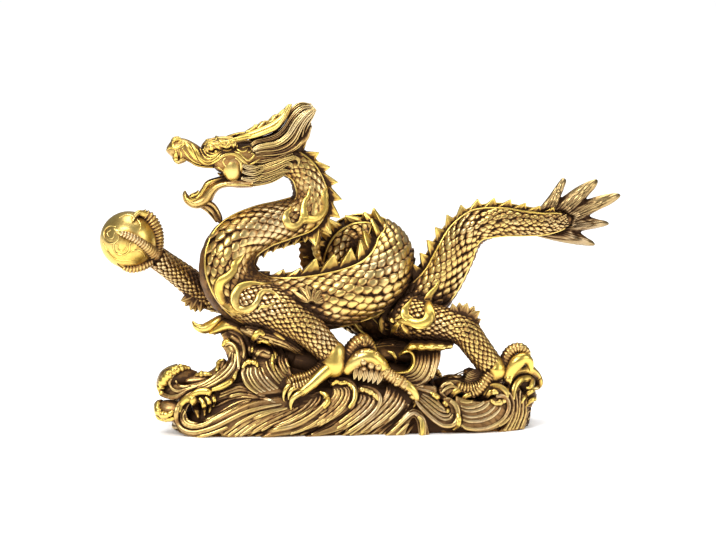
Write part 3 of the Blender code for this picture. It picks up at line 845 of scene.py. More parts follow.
class ScaleBlank:
    """One scale: a dome that ends in a blunt point, made once and pressed many times."""

    def __init__(self, point: float = 0.25, around: int = 8) -> None:
        """Makes the blank.

        Args:
            point: How far its rear end is drawn out.
            around: How many places its edge has.
        """
        bm = bmesh.new()
        bmesh.ops.create_uvsphere(bm, u_segments=around, v_segments=5, radius=1.0)
        for vert in bm.verts:
            x, y, z = vert.co
            x += point * max(x, 0.0) * (1.0 - abs(y))
            y *= 1.0 - 0.22 * max(x, 0.0)
            vert.co = (x, y, z**0.6 if z > 0 else 0.35 * z)
        self.mesh, self.places = Blanks.finished(bm)
        # The scale's set relief: lighter at its domed top and its lifted free end, darker at its rim and root, which is
        # rubbed wear with a painted highlight on the free end and painted shade at the overlapped root.
        self.tones = 0.16 + 0.62 * self.places[:, 2] + 0.22 * self.places[:, 0]

    def press(
        self, carving: Carving, centre: np.ndarray, axes: Sequence[np.ndarray], size: np.ndarray, tilt: float
    ) -> None:
        """Presses the scale at many places.

        Args:
            carving: Where the scales go.
            centre: The place of each scale.
            axes: The directions along, across and out of each scale.
            size: The half length, half width and height of each scale.
            tilt: How far the rear end lifts, as a share of the length.
        """
        sheet = bmesh.new()
        for _ in range(len(centre)):
            sheet.from_mesh(self.mesh)
        mesh = bpy.data.meshes.new("pressed")
        sheet.to_mesh(mesh)
        sheet.free()
        length, width, height = (size[:, None, k : k + 1] for k in range(3))
        along, across, outward = (axis[:, None] for axis in axes)
        x, y, z = (self.places[None, :, k : k + 1] for k in range(3))
        lift = z * height + x * length * tilt
        places = centre[:, None] + x * length * along + y * width * across + lift * outward
        mesh.vertices.foreach_set("co", places.astype(np.float32).ravel())
        shade = (np.abs(np.sin(centre @ np.array([0.37, 0.91, 0.53]) * 1.7)) - 0.5) * 0.16
        tones = np.clip(self.tones[None, :] + shade[:, None], 0.0, 1.0)
        mesh.attributes["set_relief"].data.foreach_set("value", tones.astype(np.float32).ravel())
        carving.bm.from_mesh(mesh)
        bpy.data.meshes.remove(mesh)


@dataclass(frozen=True)
class SpineRow:
    """A run of spines: its stations, their spacing, and their height and thickness in body radii."""

    first: float
    last: float
    spacing: float
    height: float
    thickness: float = 0.14


@dataclass
class Body:
    """The dragon's round body, from the back of the head to the tip of the tail."""

    ring_spacing: float = 1.3
    around: int = 36
    core_sink: float = 0.6
    back_half_angle: float = 20.0
    belly_half_angles: tuple[tuple[float, float], ...] = (
        (0.0, 50.0), (1.2, 62.0), (3.2, 66.0), (4.4, 40.0), (5.5, 34.0), (7.0, 26.0), (8.6, 38.0), (10.5, 33.0), (13.0, 27.0),
        (20.5, 29.0), (22.0, 56.0), (25.5, 56.0), (27.0, 46.0), (31.0, 46.0),
    )
    rim_radius: float = 1.15
    rim_lift: float = 1.1
    row_spacing: float = 0.82
    row_shift: float = 0.5
    plate_pitch: float = 6.5
    scale_height: float = 2.1
    spines: tuple[SpineRow, ...] = (
        SpineRow(0.3, 4.2, 11.8, 0.66, 0.13),
        SpineRow(4.3, 9.4, 9.0, 0.26),
        SpineRow(9.7, 11.3, 14.0, 0.24),
        SpineRow(11.35, 15.2, 15.4, 0.50),
        SpineRow(15.4, 16.5, 14.0, 0.26, 0.2),
        SpineRow(16.6, 19.0, 9.0, 0.86, 0.18),
        SpineRow(19.2, 21.3, 14.0, 0.4),
        SpineRow(21.3, 29.6, 12.0, 0.50, 0.17),
    )
    bands: tuple[tuple[float, float, int, float], ...] = (
        (0.0, 4.2, 4, 1.0), (4.2, 7.6, 6, 1.0), (7.6, 21.6, 7, 1.0), (21.6, 30.6, 5, 0.9)
    )
    hide: Hide = field(init=False)
    stations: np.ndarray = field(init=False)

    def __post_init__(self) -> None:
        """Lays the route out by distance."""
        fine = 60 * (len(BODY) - 1) + 1
        dense = spline(BODY, fine)
        travelled = arc_length(dense)
        station = np.linspace(0.0, len(BODY) - 1.0, fine)
        even = np.linspace(0.0, travelled[-1], round(travelled[-1] / self.ring_spacing))
        route = np.stack([np.interp(even, travelled, dense[:, k]) for k in range(4)], axis=1)
        self.stations = np.interp(even, travelled, station)
        ways = unit(np.array([way for _, way in BODY_BACK], dtype=float))
        known = [place for place, _ in BODY_BACK]
        hint = np.stack([np.interp(self.stations, known, ways[:, axis]) for axis in range(3)], axis=1)
        self.hide = Hide(route, hint)

    def distance(self, station: float) -> float:
        """The distance along the body at a station."""
        return float(np.interp(station, self.stations, self.hide.length))

    def belly(self, travelled: np.ndarray | float) -> np.ndarray:
        """Half the belly's angle at a distance along the body, in degrees."""
        places, angles = zip(*self.belly_half_angles)
        return np.interp(np.interp(travelled, self.hide.length, self.stations), places, angles)

    def core(self) -> Carving:
        """The tube under the scales, with the plates of the belly and the smooth strip of the back."""
        carving = Carving("body_core")
        angle = np.linspace(0.0, 2 * math.pi, self.around, endpoint=False)
        belly = np.abs(angle - math.pi)[None, :] < np.radians(self.belly(self.hide.length))[:, None]
        radius = self.hide.route[:, 3]
        plate = np.abs(np.sin(math.pi * self.hide.length / self.plate_pitch)) ** 0.35
        lift = np.where(belly, 0.9 * plate[:, None] - 0.2, -self.core_sink)
        relief = 1.0 + lift / np.maximum(radius[:, None], 2.0)
        size = radius[:, None]
        carving.tube(self.hide.route[:, :3], self.hide.back * size, self.hide.side * size, self.around, relief)
        return carving

    def rims(self) -> Carving:
        """The cords beside the spines and the belly."""
        carving = Carving("body_rims")
        travelled = np.arange(2.0, self.hide.length[-1] - 6.0, 2.0)
        for angle in (np.full(len(travelled), self.back_half_angle), 180.0 - self.belly(travelled)):
            for turn in (-angle, angle):
                self.hide.cord(carving, travelled, turn, self.rim_radius, self.rim_lift)
        return carving

    def scales(self) -> list[Carving]:
        """The scales between the cords, in one carving for each band of the body."""
        blank = ScaleBlank()
        made = []
        for number, (first, last, rows, fullness) in enumerate(self.bands):
            carving = Carving(f"body_scales_{number + 1}")
            centres, alongs, acrosses, outs, sizes = [], [], [], [], []
            travelled, shift = self.distance(first), 0.0
            end = self.distance(last)
            while travelled < end:
                span = 180.0 - self.back_half_angle - float(self.belly(travelled)) - 8.0
                radius = float(np.interp(travelled, self.hide.length, self.hide.route[:, 3]))
                pitch = math.radians(span) * radius / rows
                places = np.arange(-1, rows + 1) + shift
                places = places[(places > -0.1) & (places < rows + 0.1)]
                uneven = 0.10 + 0.10 * (first > 20.0)
                wander = np.sin(travelled * 1.93 + places * 5.1)
                turns = self.back_half_angle + 4.0 + span * (places + uneven * wander) / rows
                for side in (-1.0, 1.0):
                    angle = np.radians(turns) * side
                    step = travelled + pitch * uneven * np.sin(travelled * 0.71 + places * 3.3 + side)
                    place, along, across, out = self.hide.at(step, angle, -0.4)
                    centres.append(place)
                    alongs.append(along)
                    acrosses.append(across)
                    outs.append(out)
                    size = np.array([pitch * 0.83, pitch * 0.62 * fullness, self.scale_height * (0.4 + pitch / 14)])
                    sizes.append(size * (1.0 + 0.8 * uneven * wander[:, None] * np.array([0.6, 1.0, 0.6])))
                travelled += pitch * self.row_spacing
                shift = (shift + self.row_shift) % 1.0
            blank.press(
                carving,
                np.concatenate(centres),
                [np.concatenate(rows_) for rows_ in (alongs, acrosses, outs)],
                np.concatenate(sizes),
                0.17,
            )
            made.append(carving)
        return made

    def fin(self) -> Carving:
        """The rows of ribbed, swept spines down the back."""
        carving = Carving("body_spines")
        ups = np.linspace(0.0, 1.0, 10)
        angle = np.linspace(0.0, 2 * math.pi, 28, endpoint=False)
        rib = 0.45 * np.abs(np.sin(1.5 * math.pi * (np.cos(angle) + 1.0))) * np.abs(np.sin(angle))
        line = self.hide.at(self.hide.length, np.zeros(len(self.hide.length)))[0]
        walked = arc_length(line)
        for row in self.spines:
            first, last = np.interp([row.first, row.last], self.stations, walked)
            for travelled in np.interp(np.arange(first, last, row.spacing), walked, self.hide.length):
                foot, tangent, side, back = (v[0] for v in self.hide.at(np.array([travelled]), np.zeros(1), -2.0))
                radius = float(np.interp(travelled, self.hide.length, self.hide.route[:, 3]))
                rise = (row.height * radius + 2.0) * ups[:, None]
                front = row.spacing * (-0.68 + 1.0 * ups**1.2)
                rear = row.spacing * (0.54 - 0.18 * ups**0.7)
                centre = foot + back * rise + tangent * ((front + rear) / 2)[:, None]
                length = (rear - front) / 2 + 0.25
                width = row.thickness * radius * (1.0 - 0.72 * ups)
                relief = np.repeat((1.0 + rib)[None, :], len(ups), axis=0)
                carving.tube(centre, tangent * length[:, None], side * width[:, None], len(angle), relief, cap=0.5)
        return carving

    def build(self, materials: dict[str, bpy.types.Material]) -> list[bpy.types.Object]:
        """Makes the body's pieces."""
        pieces = [self.core().piece(materials["core"]), self.rims().piece(materials["gold"])]
        pieces += [carving.piece(materials["hide"]) for carving in self.scales()]
        pieces.append(self.fin().piece(materials["gold"]))
        return pieces


# Laid rows further apart than this jump from one skin to another, and a band of fewer rows is left out.
LONGEST_STEP = 4.5
FEWEST_ROWS = 6


@dataclass
class Drape:
    """Lays shapes on a carving's skin, as the camera sees them."""

    tree: BVHTree
    far: float = 200.0
    half_from: float = 4.0

    def lay(self, rows: Rows, lift: float = 0.0, per_row: int = 6, side: Side = Side.FRONT) -> np.ndarray:
        """Rows of across, down and sizes as places on the skin with those sizes.

        Args:
            rows: Across, down and any sizes.
            lift: How far before the skin the places lie.
            per_row: How many places each row gives.
            side: Which side of the skin they lie on.

        Returns:
            Rows of x, y, z and the sizes; at the back only the longest run that lies on the skin.
        """
        route = spline(rows, per_row * len(rows))
        if side is Side.FRONT:
            middle = SIGHT.place(route[:, 0], route[:, 1], np.zeros(len(route)))
            return np.hstack([self.drop(middle, side.out, lift)[0], route[:, 2:]])
        places, known = self.drop(SIGHT.behind(route[:, 0], route[:, 1]), side.out, lift)
        steps = np.linalg.norm(np.diff(places, axis=0, prepend=places[:1]), axis=1)
        whole = np.concatenate([[0], known & (steps < LONGEST_STEP), [0]])
        turns = np.flatnonzero(np.diff(whole.astype(int))).reshape(-1, 2)
        first, last = max(turns, key=np.ptp, default=(0, 0))
        return np.hstack([places, route[:, 2:]])[first:last]

    def drop(self, places: np.ndarray, out: np.ndarray, lift: float) -> tuple[np.ndarray, np.ndarray]:
        """Drops places on to the skin.

        Args:
            places: Places in the middle of the casting.
            out: The direction that they are dropped from.
            lift: How far before the skin they end.

        Returns:
            The places on the skin, and whether the skin is there and in the near half.
        """
        start = places + out * self.far
        depth = np.full(len(places), np.nan)
        for number, place in enumerate(start):
            hit = self.tree.ray_cast(Vector(place), Vector(-out), 2 * self.far)
            if hit[0] is not None:
                depth[number] = self.far - hit[3]
        known = ~np.isnan(depth)
        depth = np.interp(np.arange(len(depth)), np.flatnonzero(known), depth[known]) if known.any() else 0 * places[:, 0]
        even = np.convolve(np.pad(depth, 2, mode="edge"), np.full(5, 0.2), mode="valid")
        return start + out * (even + lift - self.far)[:, None], known & (depth > self.half_from)


def band(
    carving: Carving, rows: np.ndarray, rise: float = 0.6, hint: np.ndarray | None = None, around: int = 14
) -> None:
    """A smooth raised band along laid rows of x, y, z and half width, in pieces where they jump between two skins.

    Args:
        carving: Where it goes.
        rows: The laid rows.
        rise: How high it stands, as a share of its half width.
        hint: Which way it stands out, towards the camera if not given.
        around: How many places each ring has.
    """
    flat = np.hstack([rows[:, :3], rows[:, 3:4] * rise, rows[:, 3:4]])
    way = SIGHT.towards if hint is None else hint
    jumps = np.flatnonzero(np.linalg.norm(np.diff(rows[:, :3], axis=0), axis=1) > LONGEST_STEP) + 1
    for run in np.split(flat, jumps):
        if len(run) >= FEWEST_ROWS:
            carving.limb(run, len(run), around, way)


def mirrored(rows: np.ndarray | Rows, middle: float) -> np.ndarray:
    """The same rows on the other side of the plane y = middle."""
    turned = np.array(rows, dtype=float)
    turned[:, 1] = 2 * middle - turned[:, 1]
    return turned


def leaf(carving: Carving, root: Sequence[float], tip: Sequence[float], width: float, thick: float, bow: float) -> None:
    """A ribbed leaflet from its root to its pointed tip.

    Args:
        carving: Where it goes.
        root: Where it starts.
        tip: Where it ends.
        width: Its half width.
        thick: Its half thickness.
        bow: How far it bows sideways.
    """
    root, tip = np.array(root, dtype=float), np.array(tip, dtype=float)
    share = np.linspace(0.0, 1.0, 12)
    way = unit(tip - root)
    out = unit(np.array([0.0, 1.0, 0.0]) - way * way[1])
    side = np.cross(way, out)
    centre = root + (tip - root) * share[:, None] + side * (bow * np.sin(share * math.pi))[:, None]
    wide = width * np.clip(np.sin(share * math.pi * 0.93 + 0.2), 0.05, 1.0) ** 0.8
    deep = thick * (1.0 - 0.6 * share)
    around = 20
    angle = np.linspace(0.0, 2 * math.pi, around, endpoint=False)
    ribs = 1.0 + 0.55 * np.abs(np.sin(angle)) * (np.abs(np.sin(1.5 * math.pi * (np.cos(angle) + 1.0))) - 0.4)
    relief = np.repeat(ribs[None, :], len(share), axis=0)
    carving.tube(centre, side * wide[:, None], out * deep[:, None], around, relief)


# The legs: x, y, z, radius from the trunk to the wrist or ankle.
LEGS = {
    "near_foreleg": [
        (-87, -24, 109, 17), (-71.5, -31, 104, 18), (-54.5, -38, 97.5, 16), (-36.5, -43, 87.5, 13),
        (-23, -44, 74.5, 10.5), (-12.5, -42, 63, 9),
    ],
    "far_foreleg": [
        (-78.5, 12, 107, 15), (-95, 20, 102, 12), (-109.5, 22, 106, 10.5), (-128.5, 16, 121, 9),
        (-149.5, 8, 137, 8),
    ],
    "near_hind_leg": [
        (44.5, -12, 91, 17), (63, -22, 85.5, 15), (81.5, -28, 83.5, 12.5), (94, -31, 79, 11),
        (103.5, -33, 67, 10), (115.5, -33, 50.5, 9),
    ],
    "far_hind_leg": [
        (46.5, 16, 92, 17), (58, 26, 86, 15), (70, 34, 78, 12.5), (72, 37, 66, 11), (64, 38, 54, 9.5),
        (58, 38, 46, 9),
    ],
}

# The smooth pads of the paws: across, down, depth, radius.
PADS = [
    [(331, 343, -41, 5), (334, 350, -44, 9.4), (334, 359, -45, 10.4), (333, 367, -46, 9.8), (329, 373, -46, 6)],
    [(490, 356, -33, 6), (494, 364, -34, 8), (495, 371, -35, 9), (491, 379, -36, 6)],
]

# The toes: whether ribbed, then across, down, depth, radius.
TOES = [
    (0.0, [(331, 366, -48, 6.4), (321, 374.5, -50, 5.4), (312, 383, -52, 4.6), (303, 390.5, -53, 3.8), (297, 394, -53, 2.8)]),
    (0.13, [(326, 361, -43, 4.4), (318, 370, -45, 4.4), (307, 376, -47, 4.2), (296, 378, -48, 3.8), (288, 382, -49, 3.2)]),
    (0.13, [(326, 369, -47, 4.2), (315, 378, -49, 4.2), (303, 383, -51, 4), (294, 385, -52, 3.4)]),
    (0.05, [(344, 366, -42, 6), (349, 355, -42, 7), (356, 345, -41, 7), (363, 341, -40, 6.4), (369, 345, -39, 5), (372, 352, -39, 3)]),
    (0.0, [
        (345, 370, -46, 5.5), (353, 363, -48, 6.6), (362, 357.5, -49, 7.2), (371, 357, -50, 6.8), (379, 363, -50, 6.2),
        (386, 371, -50, 4.6),
    ]),
    (0.07, [(384, 371, -50, 5.6), (393, 377, -51, 5), (402, 382, -52, 4.6), (408, 387, -52, 4)]),
    (0.12, [(489, 375, -38, 5.6), (482, 384, -40, 5), (473, 388, -41, 4.6), (464, 388, -42, 4.2), (457, 385, -42, 3.6)]),
    (0.10, [(484, 383, -42, 4.4), (477, 391, -43, 4), (470, 394, -43, 3.2)]),
    (0.07, [
        (500, 375, -33, 4.6), (503.5, 364, -33, 4.6), (507.5, 354.5, -33, 4.8), (513.5, 349, -33, 4.6),
        (520.5, 348, -33, 4.2), (526, 351.5, -33, 3.4), (529, 356, -33, 1.6),
    ]),
    (0.0, [
        (505, 379, -35, 4.6), (510.5, 369.5, -36, 5.6), (516.5, 362, -37, 5.8), (523.5, 358, -37, 4.8),
        (528.5, 361, -36, 3.8), (530.5, 367, -36, 2.4), (530, 371, -36, 1),
    ]),
    (0.12, [(156, 254, 6, 5), (157, 241, 3, 5.8), (155, 229, 1, 6), (149.5, 219, 0, 5.6), (142, 213.5, 0, 4)]),
    (0.12, [(154, 253, -8, 4.6), (146, 246, -14, 3.8), (138, 240, -18, 3.3), (129, 235.5, -20, 2.8), (122, 233, -20.5, 2.2)]),
    (0.10, [(150, 261, 0, 4.6), (142, 266, -3, 4.2), (132, 268, -4, 4), (124, 266.5, -4, 3)]),
]

# The smooth talons: across, down, depth, radius.
TALONS = [
    [(303, 391, -54, 3), (297, 394.5, -55, 2.8), (292.5, 399, -55, 2.2), (291, 404, -54, 1.5), (291.5, 409, -54, 0.4)],
    [(294, 383, -49, 2.4), (288.5, 386, -50, 2.4), (285, 391, -50.5, 1.9), (284, 397, -50, 1.3), (285.5, 403, -50, 0.4)],
    [(299, 386.5, -52, 2.4), (293, 388.5, -53, 2.2), (289.8, 393, -53.5, 1.7), (289, 399, -53, 0.5)],
    [(369, 343, -39, 3.4), (373, 348, -39, 3), (374, 355, -39, 1.8), (371, 361, -40, 0.5)],
    [(404, 383, -52, 4.2), (411, 388.5, -53.5, 3.8), (416, 396, -53, 2.8), (415.5, 403, -51, 1.4), (413, 407, -51, 0.5)],
    [(461, 388, -42, 3.4), (455, 391, -43, 3), (451, 396, -43, 2), (450, 402, -42, 0.5)],
    [(473, 394, -43, 2.6), (467, 395, -44, 2.4), (462.5, 399, -44, 1.6), (464, 404, -43, 0.5)],
    [(146, 215, -2, 3.2), (140, 213, -6, 2.4), (136, 216, -10, 1.5), (134, 221, -13, 0.5)],
    [(124, 233.5, -20.5, 2.2), (119, 231.5, -20.5, 1.5), (115, 229, -19.5, 0.5)],
    [(126, 267, -4, 3), (120, 263, -5, 2.2), (117, 257, -7, 0.6)],
]

# The knobs on the knuckles: across, down, depth, radius.
KNOBS = [
    (352, 361, -53, 2.6), (357, 356, -54, 2.8), (357, 365, -54, 2.4), (362.5, 352.5, -54, 2.6), (363.5, 361, -56, 3),
    (369, 351.5, -54, 2.4), (370, 357.5, -56, 2.6), (371, 364.5, -56, 3), (376, 354.5, -55, 2.4), (378, 366, -56, 3),
    (377.5, 360.5, -56, 2.2), (383, 363, -55, 2.4), (385, 371.5, -55, 2.8), (364, 367.5, -55, 2.2), (391.5, 376, -55, 3),
    (398, 379.5, -56, 2.8), (404, 384.5, -56, 3), (396, 383, -56, 2), (410, 391, -56, 2.4), (355, 347, -48, 2.4),
    (359, 342, -48, 2.2), (364, 345, -47, 2.4),
]

# The toes and talons at the back: x, y, z, radius.
BACK_TOES = [
    [(-150, 12, 142, 5), (-156, 24, 152, 4.5), (-166, 28, 156, 4), (-176, 27, 152, 1)],
    [(58, 40, 42, 5), (70, 44, 38, 5), (80, 46, 34, 4), (86, 46, 26, 1)],
    [(54, 40, 42, 5), (44, 46, 38, 5), (34, 48, 34, 4), (28, 48, 26, 1)],
    [(56, 42, 40, 5), (57, 49, 32, 4.5), (57, 52, 24, 1)],
]
BACK_PADS = [((56, 38, 42), 9.0), ((-151, 7, 140), 8.0)]

# The tufts of fur: the root's across, down and depth, the tips' across and down, their depth and the half width of a
# leaflet.
TUFTS = [
    ((312, 304, -51), [(293, 291), (299.5, 287), (307, 285.5), (315, 287.5), (323, 289.5), (330, 294)], -41, 3.6),
    ((200, 291, 16), [(181, 301), (185, 306), (190, 310), (195, 312), (200, 312), (206, 309)], 16, 5.6),
    ((460, 328, -31), [(452, 303.5), (459, 302.5), (467, 303), (474, 306), (479.5, 311), (480.5, 319)], -32, 5.8),
]
FRINGES = [
    ((356, 366, -52), (382, 369, -53), (354, 379, -53), (377, 384, -53), 6, 2.3),
    ((484, 366, -34), (481, 381, -38), (466, 374, -33), (462, 384, -38), 7, 1.7),
    ((345, 352, -44), (352, 339, -42), (349, 358, -46), (357, 349, -46), 5, 1.4),
]


@dataclass
class Legs:
    """The four scaled legs with their paws, talons and tufts of fur."""

    scale_pitch: float = 4.7
    scale_height: float = 1.45
    unevenness: float = 0.14
    rib_spacing: float = 2.5
    knob_sink: float = 2.5
    knob_size: float = 1.25
    skins: dict[str, Hide] = field(init=False)

    def __post_init__(self) -> None:
        """Lays each leg's route out by distance."""
        self.skins = {}
        for name, rows in LEGS.items():
            dense = spline(rows, 60 * len(rows))
            travelled = arc_length(dense)
            even = np.linspace(0.0, travelled[-1], round(travelled[-1] / 1.5))
            route = np.stack([np.interp(even, travelled, dense[:, k]) for k in range(4)], axis=1)
            self.skins[name] = Hide(route, np.array([0.0, 0.0, 1.0]))

    def core(self) -> Carving:
        """The legs under their scales."""
        carving = Carving("leg_cores")
        for hide in self.skins.values():
            size = hide.route[:, 3:4] - 0.3
            carving.tube(hide.route[:, :3], hide.back * size, hide.side * size, 28)
        return carving

    def scales(self, name: str) -> Carving:
        """One leg's scales."""
        carving = Carving(f"{name}_scales")
        hide, blank = self.skins[name], ScaleBlank(0.3, 6)
        travelled, parity = 4.0, 0
        centres, axes, sizes = [], [[], [], []], []
        while travelled < hide.length[-1] - 1.0:
            radius = float(np.interp(travelled, hide.length, hide.route[:, 3]))
            rows = max(8, round(2 * math.pi * radius / (self.scale_pitch * (0.75 + radius / 60))))
            pitch = 2 * math.pi * radius / rows
            angle = (np.arange(rows) + 0.5 * parity) * 2 * math.pi / rows
            place, *ways = hide.at(np.full(rows, travelled), angle, -0.2)
            centres.append(place)
            for axis, way in zip(axes, ways):
                axis.append(way)
            drift = 1.0 + self.unevenness * np.sin(5.3 * np.arange(rows) + 2.9 * len(centres))
            sizes.append(np.outer(drift, [pitch * 0.72, pitch * 0.52, self.scale_height]))
            travelled += pitch * 0.62
            parity = 1 - parity
        blank.press(
            carving, np.concatenate(centres), [np.concatenate(axis) for axis in axes], np.concatenate(sizes), 0.16
        )
        return carving

    def paws(self) -> Carving:
        """The ribbed toes and the knuckles."""
        carving = Carving("paws")
        for depth, rows in TOES:
            if depth:
                carving.limb(SIGHT.rows(rows), 30, 16, (0.0, -1.0, 0.3), (self.rib_spacing, depth))
        for rows in BACK_TOES:
            carving.limb(rows, 30, 14, (0.0, -1.0, 0.3), (self.rib_spacing, 0.08))
        for centre, radius in BACK_PADS:
            carving.ball(centre, radius)
        for across, down, depth, radius in KNOBS:
            place = SIGHT.rows([(across, down, depth + self.knob_sink)])[0]
            carving.ball(place, radius * self.knob_size, 2)
        return carving

    def talons(self) -> Carving:
        """The smooth pads, toes and talons."""
        carving = Carving("talons")
        for rows in PADS:
            carving.limb(SIGHT.rows(rows), 24, 24)
        for depth, rows in TOES:
            if not depth:
                carving.limb(SIGHT.rows(rows), 30, 20, (0.0, -1.0, 0.3))
        for rows in TALONS:
            carving.limb(SIGHT.rows(rows), 20, 14, (0.0, -1.0, 0.3))
        return carving

    def fur(self) -> Carving:
        """The tufts at the elbows and knees and the fringes of the paws."""
        carving = Carving("leg_fur")
        for root, tips, depth, width in TUFTS:
            base = SIGHT.rows([root])[0]
            for number, tip in enumerate(tips):
                end = SIGHT.rows([(*tip, depth - 2 + number % 2)])[0]
                leaf(carving, base + (end - base) * 0.15, end, width * 0.8, 2.6, 0.8 * (-1) ** number)
        for first_root, last_root, first_tip, last_tip, count, width in FRINGES:
            for share in np.linspace(0.0, 1.0, count):
                root, tip = (
                    SIGHT.rows([np.array(a) * (1 - share) + np.array(b) * share])[0]
                    for a, b in ((first_root, last_root), (first_tip, last_tip))
                )
                leaf(carving, root, tip, width, 1.5, 0.6)
        return carving

    def build(self, materials: dict[str, bpy.types.Material]) -> list[bpy.types.Object]:
        """Makes the legs' pieces."""
        pieces = [self.core().piece(materials["core"])]
        pieces += [self.scales(name).piece(materials["hide"]) for name in LEGS]
        pieces.append(self.paws().piece(materials["hide"]))
        pieces.append(self.talons().piece(materials["gold"]))
        pieces.append(self.fur().piece(materials["hair"]))
        return pieces


# The mound under the waves: x, height, half depth.
MOUND = [
    (-135, 8, 16), (-132, 20, 27), (-127, 29, 37), (-118, 34, 44), (-105, 38, 50), (-88, 48, 52),
    (-60, 58, 53), (0, 60, 53), (40, 58, 53), (66, 44, 52), (88, 31, 51), (112, 31, 49),
    (130, 36, 43), (141, 29, 32), (147, 13, 20),
]


@dataclass(frozen=True)
class Wave:
    """One wave in the camera's view: its rim, its root and how far it stands proud."""

    rim: Rows
    root: Rows
    proud: float


